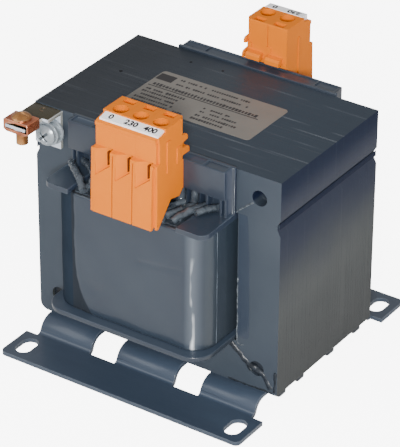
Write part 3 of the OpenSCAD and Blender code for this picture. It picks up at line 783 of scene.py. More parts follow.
def softened(node: str, name: str, width: float, segments: int = 2, angle: float = 35.0) -> bpy.types.Object:
    """Copy a node's mesh and round its sharp edges a little.

    Args:
        node: The node to copy.
        name: Name of the new piece.
        width: Width of the rounding in millimetres.
        segments: Faces across each rounding.
        angle: Edges sharper than this many degrees are rounded.

    Returns:
        The rounded copy.
    """
    room = 2.2 * width * MM  # what a rounding needs beside its edge
    shape = bmesh.new()
    shape.from_mesh(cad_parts[node].data)
    bmesh.ops.remove_doubles(shape, verts=shape.verts, dist=2e-6)
    bmesh.ops.dissolve_limit(shape, angle_limit=math.radians(0.6), verts=shape.verts, edges=shape.edges)
    weight = shape.edges.layers.float.new("bevel_weight_edge")
    for edge in shape.edges:
        if len(edge.link_faces) != 2 or edge.calc_face_angle_signed(0.0) < math.radians(angle):
            continue
        near = min(e.calc_length() for v in edge.verts for e in v.link_edges if e is not edge)
        deep = min(f.calc_area() / max(edge.calc_length(), 1e-6) for f in edge.link_faces)
        if min(near, deep) > room:
            edge[weight] = 1.0
    holder = poured(shape, name + "_holder")
    for face in holder.data.polygons:
        face.use_smooth = False
    rounding = holder.modifiers.new("rounding", "BEVEL")
    rounding.width = width * MM
    rounding.segments = segments
    rounding.limit_method = "WEIGHT"
    rounding.use_clamp_overlap = True
    made = plain_mesh(holder, name)
    smooth(made)
    return made


def bezier(name: str, points: Sequence[Vector]) -> bpy.types.Object:
    """Make a smooth open curve through points given in metres.

    Args:
        name: Name of the curve.
        points: The points that it passes through.

    Returns:
        The curve object, linked to the scene.
    """
    data = bpy.data.curves.new(name, "CURVE")
    data.dimensions = "3D"
    spline = data.splines.new("BEZIER")
    spline.bezier_points.add(len(points) - 1)
    for handle, point in zip(spline.bezier_points, points):
        handle.co = point
        handle.handle_left_type = handle.handle_right_type = "AUTO"
    return linked(name, data)


# ---- Geometry node trees ----


class NodeShapes:
    """Geometry node trees for what repeats or follows a path."""

    def __init__(self) -> None:
        """Build every tree."""
        self.stack = self._stack()
        self.thread = self._thread()
        self.words = self._words()
        self.tube = self._tube()

    @staticmethod
    def _start(name: str, ins: Sequence[tuple]) -> tuple:
        """Make a geometry node tree with a geometry input and output and named inputs.

        Args:
            name: Name of the tree.
            ins: Name, socket type and default of each input.

        Returns:
            The tree, its Tree wrapper, the sockets that it takes in and the sockets that it puts out.
        """
        group = bpy.data.node_groups.new(name, "GeometryNodeTree")
        group.interface.new_socket(name="Geometry", in_out="INPUT", socket_type="NodeSocketGeometry")
        for title, kind, default in ins:
            group.interface.new_socket(name=title, in_out="INPUT", socket_type=kind).default_value = default
        group.interface.new_socket(name="Material", in_out="INPUT", socket_type="NodeSocketMaterial")
        group.interface.new_socket(name="Geometry", in_out="OUTPUT", socket_type="NodeSocketGeometry")
        tree = Tree(group)
        return group, tree, tree.add("NodeGroupInput").outputs, tree.add("NodeGroupOutput").inputs

    @staticmethod
    def _end(tree: Tree, ins: bpy.types.bpy_prop_collection, outs: bpy.types.bpy_prop_collection,
             geometry: Socket) -> None:
        """Close a tree: realize the instances and set the material.

        Args:
            tree: The tree to close.
            ins: The sockets that it takes in.
            outs: The sockets that it puts out.
            geometry: The geometry to hand out.
        """
        real = tree.add("GeometryNodeRealizeInstances", {0: geometry}).outputs[0]
        painted = tree.add("GeometryNodeSetMaterial", {"Geometry": real, "Material": ins["Material"]})
        tree.feed(outs[0], painted.outputs[0])

    @staticmethod
    def _row(tree: Tree, count: Socket, start: Socket, step: Socket) -> Socket:
        """Lay points in a row.

        Args:
            tree: The tree to add to.
            count: How many points.
            start: The place of the first one.
            step: The way from one to the next.

        Returns:
            The socket of the points.
        """
        return tree.add("GeometryNodeMeshLine", {"Count": count, "Start Location": start,
                                                 "Offset": step}).outputs[0]

    @staticmethod
    def _random(tree: Tree, low: object, high: float, seed: Socket) -> Socket:
        """Draw a random number for each point.

        Args:
            tree: The tree to add to.
            low: The lowest value.
            high: The highest value.
            seed: The seed of the draws.

        Returns:
            The socket of the number.
        """
        return tree.add("FunctionNodeRandomValue", {2: low, 3: high, "Seed": seed},
                        data_type="FLOAT").outputs[1]

    @staticmethod
    def _swept(tree: Tree, curve: Socket, radius: Socket, sides: object) -> Socket:
        """Sweep a circle along a curve, with closed ends.

        Args:
            tree: The tree to add to.
            curve: The curve.
            radius: Radius of the circle.
            sides: How many sides it has.

        Returns:
            The socket of the swept shape.
        """
        profile = tree.add("GeometryNodeCurvePrimitiveCircle", {"Resolution": sides, "Radius": radius})
        return tree.add("GeometryNodeCurveToMesh", {"Curve": curve, "Profile Curve": profile.outputs[0],
                                                    "Fill Caps": True}).outputs[0]

    def _stack(self) -> bpy.types.NodeTree:
        """Repeat one sheet along Y with a small shift from sheet to sheet.

        Returns:
            The tree.
        """
        group, tree, ins, outs = self._start("sheet_stack", [
            ("Sheets", INTEGER, 117), ("First", VECTOR, (0.0, 0.0, 0.0)),
            ("Pitch", VECTOR, (0.0, 0.0005, 0.0)), ("Shift", FLOAT, 0.00003), ("Seed", INTEGER, 1)])
        row = self._row(tree, ins["Sheets"], ins["First"], ins["Pitch"])
        copies = tree.add("GeometryNodeInstanceOnPoints", {"Points": row, "Instance": ins["Geometry"]})
        spread = tree.add("FunctionNodeRandomValue", {0: (-1.0, 0.0, -1.0), 1: (1.0, 0.0, 1.0),
                                                      "Seed": ins["Seed"]}, data_type="FLOAT_VECTOR")
        shift = tree.vector("SCALE", spread.outputs[0], ins["Shift"])
        moved = tree.add("GeometryNodeTranslateInstances", {"Instances": copies.outputs[0],
                                                            "Translation": shift})
        self._end(tree, ins, outs, moved.outputs[0])
        return group

    def _thread(self) -> bpy.types.NodeTree:
        """Wind a ridge round the Z axis.

        Returns:
            The tree.
        """
        group, tree, ins, outs = self._start("screw_thread", [
            ("Radius", FLOAT, 0.0018), ("Length", FLOAT, 0.006), ("Turns", FLOAT, 8.0),
            ("Ridge", FLOAT, 0.0003), ("Place", VECTOR, (0.0, 0.0, 0.0))])
        spiral = tree.add("GeometryNodeCurveSpiral", {
            "Resolution": 20, "Rotations": ins["Turns"], "Start Radius": ins["Radius"],
            "End Radius": ins["Radius"], "Height": ins["Length"]})
        swept = self._swept(tree, spiral.outputs[0], ins["Ridge"], 5)
        placed = tree.add("GeometryNodeTransform", {"Geometry": swept, "Translation": ins["Place"]})
        self._end(tree, ins, outs, placed.outputs[0])
        return group

    def _words(self) -> bpy.types.NodeTree:
        """Set a row of small plates of uneven length, as a line of print seen from a step away.

        Returns:
            The tree.
        """
        group, tree, ins, outs = self._start("print_row", [
            ("Count", INTEGER, 10), ("Start", VECTOR, (0.0, 0.0, 0.0)), ("Step", VECTOR, (0.002, 0.0, 0.0)),
            ("Height", FLOAT, 0.0009), ("Shortest", FLOAT, 0.45), ("Filled", FLOAT, 0.88),
            ("Seed", INTEGER, 1)])
        row = self._row(tree, ins["Count"], ins["Start"], ins["Step"])
        step = tree.add("ShaderNodeVectorMath", {0: ins["Step"]}, operation="LENGTH")
        size = tree.add("ShaderNodeCombineXYZ", {0: step.outputs["Value"], 1: ins["Height"], 2: 0.03 * MM})
        plate = tree.add("GeometryNodeMeshCube", {"Size": size.outputs[0]})
        length = self._random(tree, ins["Shortest"], 0.86, ins["Seed"])
        height = self._random(tree, 0.62, 1.0, tree.maths("ADD", ins["Seed"], 31.0))
        scale = tree.add("ShaderNodeCombineXYZ", {0: length, 1: height, 2: 1.0})
        shown = tree.add("FunctionNodeRandomValue", {
            "Probability": ins["Filled"], "Seed": tree.maths("ADD", ins["Seed"], 67.0)}, data_type="BOOLEAN")
        copies = tree.add("GeometryNodeInstanceOnPoints", {
            "Points": row, "Instance": plate.outputs[0], "Selection": shown.outputs[3],
            "Scale": scale.outputs[0]})
        self._end(tree, ins, outs, copies.outputs[0])
        return group

    def _tube(self) -> bpy.types.NodeTree:
        """Draw a lumpy round tube along the curve it is given.

        Returns:
            The tree.
        """
        group, tree, ins, outs = self._start("lumpy_tube", [
            ("Radius", FLOAT, 0.001), ("Lumps", FLOAT, 0.0003), ("Lump Scale", FLOAT, 300.0),
            ("Sides", INTEGER, 12)])
        evened = tree.add("GeometryNodeResampleCurve", {"Curve": ins["Geometry"], "Count": 60})
        swept = self._swept(tree, evened.outputs[0], ins["Radius"], ins["Sides"])
        where = tree.add("GeometryNodeInputPosition")
        noise = tree.add("ShaderNodeTexNoise", {"Vector": where.outputs[0], "Scale": ins["Lump Scale"]})
        push = tree.vector("SUBTRACT", noise.outputs["Color"], (0.5, 0.5, 0.5))
        lump = tree.vector("SCALE", push, ins["Lumps"])
        moved = tree.add("GeometryNodeSetPosition", {"Geometry": swept, "Offset": lump})
        self._end(tree, ins, outs, moved.outputs[0])
        return group

    @staticmethod
    def grow(tree: bpy.types.NodeTree, name: str, values: dict,
             seed: Optional[bpy.types.Object] = None) -> bpy.types.Object:
        """Run a tree on an object and return the result as a plain mesh object.

        Args:
            tree: The geometry node tree.
            name: Name of the new object.
            values: Input name to value.
            seed: The object that the tree starts from. An empty mesh if left out.

        Returns:
            The plain mesh object.
        """
        holder = seed or mesh_object(name + "_holder", [], [])
        modifier = holder.modifiers.new(name, "NODES")
        modifier.node_group = tree
        for item in tree.interface.items_tree:
            if item.in_out == "INPUT" and item.name in values:
                modifier[item.identifier] = values[item.name]
        return plain_mesh(holder, name)


# ---- The transformer's sub-assemblies ----


@dataclass(frozen=True)
class Strand:
    """The cross-section of a lumpy tube.

    Attributes:
        radius: Its radius in millimetres.
        lumps: How far the lumps push its surface, in millimetres.
        lump_scale: How fine the lumps are.
        sides: How many sides it has.
        crease: Edges sharper than this many degrees stay sharp.
    """

    radius: float
    lumps: float
    lump_scale: float
    sides: int
    crease: float = 80.0


class Facing(Enum):
    """The way that a thin disc faces, as its thickness in millimetres and its turn round X."""

    UP = (0.02, 0.0)
    FRONT = (0.2, math.pi / 2)


@dataclass
class Assembly:
    """What every sub-assembly is built with.

    Attributes:
        shapes: The geometry node trees.
        groups: The shared shader node groups.
    """

    shapes: NodeShapes
    groups: ShaderGroups

    def paint(self, nodes: Iterable[str], finish: Finish) -> None:
        """Give one finish to nodes that keep the mesh of their solid.

        Args:
            nodes: The nodes.
            finish: Their finish.
        """
        for node in nodes:
            dress(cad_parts[node], finish, self.groups)
            log.info("%s: %s", node, finish.name)

    def fit(self, piece: bpy.types.Object, finish: Finish, slot: str, node: Optional[str] = None) -> None:
        """Dress a piece and settle it.

        Args:
            piece: The piece.
            finish: Its finish.
            slot: Not used.
            node: The node that the piece replaces, if any.
        """
        dress(piece, finish, self.groups)
        settle(piece, node)

    def strand(self, name: str, path: Sequence[Vector], shape: Strand, finish: Finish, slot: str) -> None:
        """Draw a lumpy tube along a path and settle it.

        Args:
            name: Name of the piece.
            path: The points that it passes through, in metres.
            shape: Its cross-section.
            finish: Its finish.
            slot: Not used.
        """
        piece = self.shapes.grow(self.shapes.tube, name, {
            "Radius": shape.radius * MM, "Lumps": shape.lumps * MM, "Lump Scale": shape.lump_scale,
            "Sides": shape.sides, "Material": finish.material(self.groups)}, bezier(name, path))
        smooth(piece, shape.crease)
        settle(piece)


@dataclass
class SheetCore(Assembly):
    """The stack of E and I sheets with its welds and varnish runs. Sizes in millimetres.

    Attributes:
        inset: How far each sheet stays inside the solid, since the sheets shift.
        limb: Width of an outer limb, and half the width of the middle one.
        pitch: The step from sheet to sheet.
        sheet: Thickness of one sheet.
        shift: How far a sheet moves sideways at most.
        hole: Radius of the corner holes.
        hole_steps: Sides of a corner hole.
        corner: Radius of the lower left corner.
        corner_steps: Faces round that corner.
        notch_rise: How far below the joint the weld notch is at its deepest.
        notch_slope: Height of the notch's sloping side.
        notch_depth: Depth of the notch.
        seam_lip: Height of the flat lip over the joint.
        run_sink: How deep a varnish run sits in the core.
        run_lump_scale: How fine a run's lumps are.
        run_sides: Sides of a run.
        bead_rise: Height of the varnish beads along the feet over the foot of the core.
        bead: The varnish beads along the feet.
    """

    inset: float = 0.02
    limb: float = 16.0
    pitch: float = 0.5
    sheet: float = 0.498
    shift: float = 0.012
    hole: float = 2.75
    hole_steps: int = 32
    corner: float = 3.0
    corner_steps: int = 8
    notch_rise: float = 1.5
    notch_slope: float = 2.2
    notch_depth: float = 1.1
    seam_lip: float = 0.4
    run_sink: float = 0.62  # as a share of the run's radius
    run_lump_scale: float = 420.0
    run_sides: int = 14
    bead_rise: float = 0.35
    bead: Strand = Strand(0.5, 0.8, 300.0, 10)

    def __post_init__(self) -> None:
        """Read the outer sizes of the core from the frame."""
        low, high = reach("e_sheets")
        self.front, self.depth = low.y, high.y - low.y
        self.bottom, self.joint, self.top = low.z, high.z, reach("i_sheets")[1].z
        self.half = high.x - self.inset
        self.hole_x = self.half - self.limb / 2

    def _flat(self, outline: Sequence[tuple[float, float]], hole_z: float, name: str) -> bpy.types.Object:
        """Cut one sheet from an outline with two round holes and stand it upright.

        Args:
            outline: Corners as (x, z).
            hole_z: Height of the holes.
            name: Name of the sheet.

        Returns:
            The sheet, centred on Y = 0.
        """
        data = bpy.data.curves.new(name, "CURVE")
        data.dimensions = "2D"
        data.fill_mode = "BOTH"
        data.extrude = self.sheet / 2 * MM
        loops = [list(outline)]
        for x in (-self.hole_x, self.hole_x):
            loops.append([(x + self.hole * math.cos(a), hole_z + self.hole * math.sin(a))
                          for a in (math.tau * i / self.hole_steps for i in range(self.hole_steps))])
        for loop in loops:
            spline = data.splines.new("POLY")
            spline.points.add(len(loop) - 1)
            spline.use_cyclic_u = True
            for point, (x, z) in zip(spline.points, loop):
                point.co = (x * MM, z * MM, 0.0, 1.0)
        holder = linked(name, data)
        holder.matrix_world = Matrix.Rotation(math.pi / 2, 4, "X")
        return plain_mesh(holder, name)

    def e_outline(self) -> list[tuple[float, float]]:
        """List the corners of an E sheet, from the lower left round.

        Returns:
            Corners as (x, z).
        """
        half, low, top, bend = self.half, self.bottom, self.joint, self.corner
        turns = (math.pi / 2 * (1 - i / self.corner_steps) for i in range(self.corner_steps + 1))
        arc = [(-half + bend * (1 - math.sin(a)), low + bend * (1 - math.cos(a))) for a in turns]
        notch, cut = top - self.notch_rise, half - self.notch_depth
        right = [(half, low), (half, notch - self.notch_slope), (cut, notch), (cut, top)]
        inner, outer, sill = self.limb, 2 * self.limb, low + self.limb
        window = [(outer, top), (outer, sill), (inner, sill), (inner, top),
                  (-inner, top), (-inner, sill), (-outer, sill), (-outer, top)]
        left = [(-cut, top), (-cut, notch), (-half, notch - self.notch_slope)]
        return arc + right + window + left

    def i_outline(self) -> list[tuple[float, float]]:
        """List the corners of an I sheet, from the lower left round.

        Returns:
            Corners as (x, z).
        """
        half, low, top, cut = self.half, self.joint, self.top, self.half - self.notch_depth
        lip, slope = low + self.seam_lip, low + self.notch_slope
        return [(-cut, low), (cut, low), (cut, lip), (half, slope), (half, top), (-half, top), (-half, slope),
                (-cut, lip)]

    def build(self) -> None:
        """Stack both kinds of sheet, then add the welds and the varnish."""
        kinds = (("e_sheets", self.e_outline(), self.bottom + self.limb / 2, 3),
                 ("i_sheets", self.i_outline(), self.top - self.limb / 2, 8))
        for node, outline, hole_z, seed in kinds:
            sheet = self._flat(outline, hole_z, node + "_sheet")
            stack = self.shapes.grow(self.shapes.stack, "stacked_" + node, {
                "Sheets": round(self.depth / self.pitch), "Pitch": (0.0, self.pitch * MM, 0.0),
                "First": (0.0, (self.front + self.pitch / 2) * MM, 0.0), "Shift": self.shift * MM,
                "Seed": seed, "Material": Paint.CORE.material(self.groups)}, sheet)
            settle(stack, node)
        self.welds()
        self.runs()
        self.skins()

    def welds(self) -> None:
        """Make the weld seams and the short foot welds lumpy."""
        for node, size, finish in (("core_weld_seams", 0.35, Paint.SEAM), ("foot_welds", 0.5, Paint.WELD)):
            self.fit(softened(node, "beads_" + node, size, 3), finish, "core_weld", node)

    def runs(self) -> None:
        """Add the ridges where varnish ran and dried on the right limb and along the feet."""
        paths = {  # name: (radius, lumps, finish, places on the front as x and height over the core's foot)
            "varnish_run_lower": (1.25, 1.3, Paint.RUN, [(29.9, 14.6), (33.5, 11.4), (37.3, 8.4), (40.5, 7.4),
                                                         (43.2, 5.2), (45.6, 1.8)]),
            "varnish_run_edge": (0.75, 0.9, Paint.RUN, [(36.2, 9.3), (36.8, 7.6), (37.6, 6.2)]),
            "varnish_run_upper": (0.42, 0.4, Paint.CRUST_AND_HIGHLIGHT, [(31.0, 64.1), (34.6, 67.3), (37.7, 69.8)]),
            "varnish_crust_corner": (0.3, 0.9, Paint.CRUST_AND_HIGHLIGHT, [(32.2, 15.3), (33.4, 14.9), (34.8, 15.4)]),
            "varnish_run_foot": (0.5, 0.7, Paint.RUN, [(29.0, 0.5), (35.0, 0.3), (41.0, 0.5), (46.0, 0.5)]),
            "varnish_run_corner": (0.75, 0.9, Paint.RUN, [(46.9, 0.9), (47.1, 4.0), (47.2, 9.0)]),
            "varnish_crust_inner": (0.32, 0.9, Paint.CRUST_AND_HIGHLIGHT, [(32.1, 15.8), (32.2, 24.0), (32.1, 32.0),
                                                             (32.2, 40.0)]),
        }
        for name, (radius, lumps, finish, places) in paths.items():
            path = [mm(x, self.front + self.run_sink * radius, z + self.bottom) for x, z in places]
            shape = Strand(radius, lumps, self.run_lump_scale, self.run_sides)
            self.strand(name, path, shape, finish, "core_sheets")
        for name, x in (("varnish_bead_right", 47.15), ("varnish_bead_left", -44.6)):
            path = [mm(x, y, self.bottom + self.bead_rise) for y in (-28.3, -15.0, 0.0, 15.0, 28.3)]
            self.strand(name, path, self.bead, Paint.RUN, "core_sheets")

    def skins(self) -> None:
        """Add the thin sheet of varnish beside the window, black discs of painted shade for the pits on top,
        and the skins in the holes.
        """
        outline = [(32.4, 64.0), (32.4, 19.2)]
        turns = (math.pi * i / 12 for i in range(1, 12))
        outline += [(34.6 - 2.2 * math.cos(a), 19.2 - 1.6 * math.sin(a)) for a in turns]
        outline += [(36.8, 19.2), (36.5, 50.0), (35.6, 64.0)]
        corners = [mm(x, self.front - 0.04, z + self.bottom) for x, z in outline]
        self.fit(solid_plate("varnish_sheet", corners, mm(0.0, 0.05, 0.0)), Paint.SHEET, "core_sheets")
        # black discs painted as the shade in small pits
        pits = ((-37.1, 3.8, 0.6), (-21.5, 22.5, 0.5), (-9.1, 23.2, 0.5))
        for number, (x, y, radius) in enumerate(pits, 1):
            pit = self.disc(f"varnish_pit_{number}", mm(x, y, self.top + 0.01), radius, Facing.UP)
            self.fit(pit, Paint.INK, "core_sheets")
        for side, x, depth in (("left", -self.hole_x, 1.2), ("right", self.hole_x, 0.75)):
            middle = mm(x, self.front + depth, self.bottom + self.limb / 2)
            plug = self.disc("varnish_plug_" + side, middle, self.hole - 0.02, Facing.FRONT)
            self.fit(plug, Paint.RUN, "core_sheets")

    @staticmethod
    def disc(name: str, middle: Vector, radius: float, facing: Facing) -> bpy.types.Object:
        """Make a thin round skin.

        Args:
            name: Name of the skin.
            middle: Its centre in metres.
            radius: Its radius in millimetres.
            facing: The way it faces.

        Returns:
            The skin.
        """
        thickness, turn = facing.value
        shape = bmesh.new()
        bmesh.ops.create_cone(shape, cap_ends=True, segments=28, radius1=radius * MM, radius2=radius * MM,
                              depth=thickness * MM)
        bmesh.ops.rotate(shape, verts=shape.verts, matrix=Matrix.Rotation(turn, 3, "X"))
        bmesh.ops.translate(shape, verts=shape.verts, vec=middle)
        return poured(shape, name)


@dataclass
class Coil(Assembly):
    """The bobbin, its windings, the outer wrap and the leads. Sizes in millimetres.

    Attributes:
        corner: Radius of the wrap's corners.
        wall: Thickness of the wrap.
        rim: Height of its rounded rims.
        lap: How far its inner face reaches in from each rim.
        turn: The step at the end of the last turn.
        end_x: Where the last turn ends on the front.
        under_x: Left of this, only the layer below the last turn shows.
        flare: How far the end of the last turn leans to the right at its foot.
        crease_z: Height of the crease.
        crease_x: The two ends of the crease.
        dip_x: Middle of the dip, across the front.
        dip_z: Middle of the dip, in height.
        mark_depth: Depth of the crease and the dip.
        pool_rise: How far the pool of varnish stands over the wrap.
        pool_depth: Thickness of the pool.
        fold: The ridge down the front corner, with its light colour painted as a highlight.
        sleeve: The ends of the windings.
        arc_steps: Faces round each corner.
        side_steps: Faces along each side.
        rise_steps: Rows of faces up the wrap.
    """

    corner: float = 8.5
    wall: float = 0.9
    rim: float = 0.7
    lap: float = 8.0
    turn: float = 0.27
    end_x: float = -20.4
    under_x: float = -21.4
    flare: float = 2.94
    crease_z: float = 51.7
    crease_x: tuple[float, float] = (4.0, 22.0)
    dip_x: float = -14.0
    dip_z: float = 36.5
    mark_depth: float = 0.3
    pool_rise: float = 0.5
    pool_depth: float = 0.9
    fold: Strand = Strand(0.16, 0.15, 260.0, 8)
    sleeve: Strand = Strand(1.3, 1.2, 380.0, 12, 70.0)
    arc_steps: int = 16
    side_steps: int = 60
    rise_steps: int = 56

    def __post_init__(self) -> None:
        """Read the outer sizes of the wrap from the frame."""
        low, high = reach("outer_wrap")
        self.half_x, self.half_y = high.x, high.y
        self.low, self.high = low.z, high.z

    def build(self) -> None:
        """Build and dress every piece of the coil."""
        self.fit(softened("bobbin", "bobbin_dipped", 0.3), Paint.BOBBIN, "bobbin_plastic", "bobbin")
        wrap = self.wrap()
        dress(wrap, WRAP, self.groups)
        wrap.data.materials.append(UNDER.material(self.groups))
        for face in wrap.data.polygons:
            if face.center.x < self.under_x * MM and face.center.y < 0:
                face.material_index = 1
        settle(wrap, "outer_wrap")
        corner = [mm(self.half_x - 0.15, -37.8, z) for z in (25.5, 40.0, 54.0, 67.5)]
        self.strand("wrap_fold", corner, self.fold, Paint.FOLD_HIGHLIGHT, "wrap_film")
        self.paint(("primary_winding", "secondary_winding"), Paint.COPPER)
        self.paint(("winding_insulation",), Paint.TAPE)
        self.paint(("lead_wires",), Paint.LEAD)
        self.leads()

    def _ring(self) -> list[tuple[float, float, float, float]]:
        """Walk round the coil's rounded outline.

        Returns:
            Points as (x, y, outward x, outward y), evenly spaced on each corner and side.
        """
        in_x, in_y = self.half_x - self.corner, self.half_y - self.corner
        centres = [(in_x, in_y), (-in_x, in_y), (-in_x, -in_y), (in_x, -in_y)]
        points = []
        for quarter, (cx, cy) in enumerate(centres):
            for i in range(self.arc_steps + 1):
                angle = math.pi / 2 * (quarter + i / self.arc_steps)
                nx, ny = math.cos(angle), math.sin(angle)
                points.append((cx + self.corner * nx, cy + self.corner * ny, nx, ny))
            next_x, next_y = centres[(quarter + 1) % 4]
            for i in range(1, self.side_steps):
                share = i / self.side_steps
                points.append((cx + (next_x - cx) * share + self.corner * nx,
                               cy + (next_y - cy) * share + self.corner * ny, nx, ny))
        return points

    def wrap(self) -> bpy.types.Object:
        """Shape the outer wrap: a closed shell with soft bulges, a crease and the end of its last turn.

        Returns:
            The wrap.
        """
        tall = self.high - self.low
        lip = [(0.0, self.wall), (0.0, 0.5), (0.25, 0.12)]
        side = [(self.rim + (tall - 2 * self.rim) * i / self.rise_steps, 0.0)
                for i in range(self.rise_steps + 1)]
        rows = lip + side + [(tall - rise, inset) for rise, inset in reversed(lip)]
        rows += [(tall - self.lap, self.wall), (self.lap, self.wall)]
        ring = self._ring()
        points = []
        for rise, inset in rows:
            z = self.low + rise
            for x, y, nx, ny in ring:
                dent = inset + (self._dent(x, y, z) if inset < self.wall else 0.0)
                points.append(mm(x - nx * dent, y - ny * dent, z))
        count = len(ring)
        faces = []
        for row in range(len(rows)):
            here, above = row * count, (row + 1) % len(rows) * count
            for i in range(count):
                j = (i + 1) % count
                faces.append((here + i, here + j, above + j, above + i))
        piece = mesh_object("coil_wrap", points, faces)
        smooth(piece, 50)
        return piece

    def _dent(self, x: float, y: float, z: float) -> float:
        """Give how far the wrap's surface lies inside its outline at a place.

        Args:
            x: Place across the coil in millimetres.
            y: Place along the stack in millimetres.
            z: Height in millimetres.

        Returns:
            The depth in millimetres.
        """
        share = (z - self.low) / (self.high - self.low)
        dent = 0.12 + 0.1 * math.sin(x * 0.35 + z * 0.12) * math.sin(z * 0.22 + y * 0.1)
        if y < 0:
            edge = self.end_x + self.flare * max(0.0, 1.0 - share * 2.4)
            dent += self.turn / (1.0 + math.exp((x - edge) * 6.0))
            if self.crease_x[0] < x < self.crease_x[1]:
                dent += self.mark_depth * math.exp(-((z - self.crease_z - 0.12 * (x - 5.0)) / 0.8) ** 2)
            dent += self.mark_depth * math.exp(-((x - self.dip_x) / 5.0) ** 2
                                               - ((z - self.dip_z - 0.1 * x) / 2.5) ** 2)
        return max(0.0, dent)

    def leads(self) -> None:
        """Add the pool of varnish and the ends of the windings that lie over the coil's edge."""
        outline = [(-20.6, -45.0), (20.8, -45.0), (23.0, -41.0), (23.5, -32.2), (-23.5, -32.2),
                   (-23.0, -41.0)]
        pool = solid_plate("varnish_pool", [mm(x, y, self.high + self.pool_rise) for x, y in outline],
                           mm(0.0, 0.0, -self.pool_depth))
        self.fit(pool, Paint.POOL, "lead_sleeve")
        ends = {  # places as x, y and height over the wrap, from the core out to the coil's edge
            "left_1": ((-30.0, -34.0, 2.85), (-25.5, -38.5, 3.65), (-20.5, -42.5, 3.45),
                       (-17.0, -45.4, 1.45)),
            "left_2": ((-27.0, -31.5, 3.05), (-22.5, -34.5, 3.85), (-18.0, -38.5, 3.85),
                       (-15.0, -43.0, 2.85)),
            "right_1": ((13.0, -40.0, 1.3), (13.2, -43.5, 1.3), (13.6, -45.9, 0.4)),
            "right_2": ((22.0, -31.5, 2.85), (20.5, -36.0, 3.05), (18.2, -40.5, 2.25), (16.5, -44.0, 1.0)),
            "right_3": ((26.5, -31.0, 3.05), (24.0, -35.0, 3.45), (22.0, -38.5, 3.15)),
            "right_4": ((19.5, -30.5, 2.25), (17.0, -35.5, 2.05), (14.5, -40.5, 1.65), (12.8, -44.0, 1.15)),
            "right_5": ((15.0, -31.0, 1.85), (12.0, -36.5, 1.65), (9.5, -41.0, 1.45), (8.5, -44.5, 1.05)),
            "left_3": ((-22.5, -31.0, 2.05), (-18.0, -35.0, 2.05), (-14.0, -40.0, 1.65),
                       (-12.0, -44.0, 1.15)),
        }
        for end, path in ends.items():
            places = [mm(x, y, self.high + rise) for x, y, rise in path]
            self.strand("lead_end_" + end, places, self.sleeve, Paint.LEAD, "lead_sleeve")


@dataclass
class Feet(Assembly):
    """The two bent feet."""

    rounding: float = 0.25

    def build(self) -> None:
        """Round and dress both feet."""
        for node in ("front_foot", "back_foot"):
            self.fit(softened(node, "bent_" + node, self.rounding), Paint.FOOT, "foot_sheet", node)


class Row(Enum):
    """The side of the core that a row of clamps stands on."""

    FRONT = "front"
    BACK = "back"


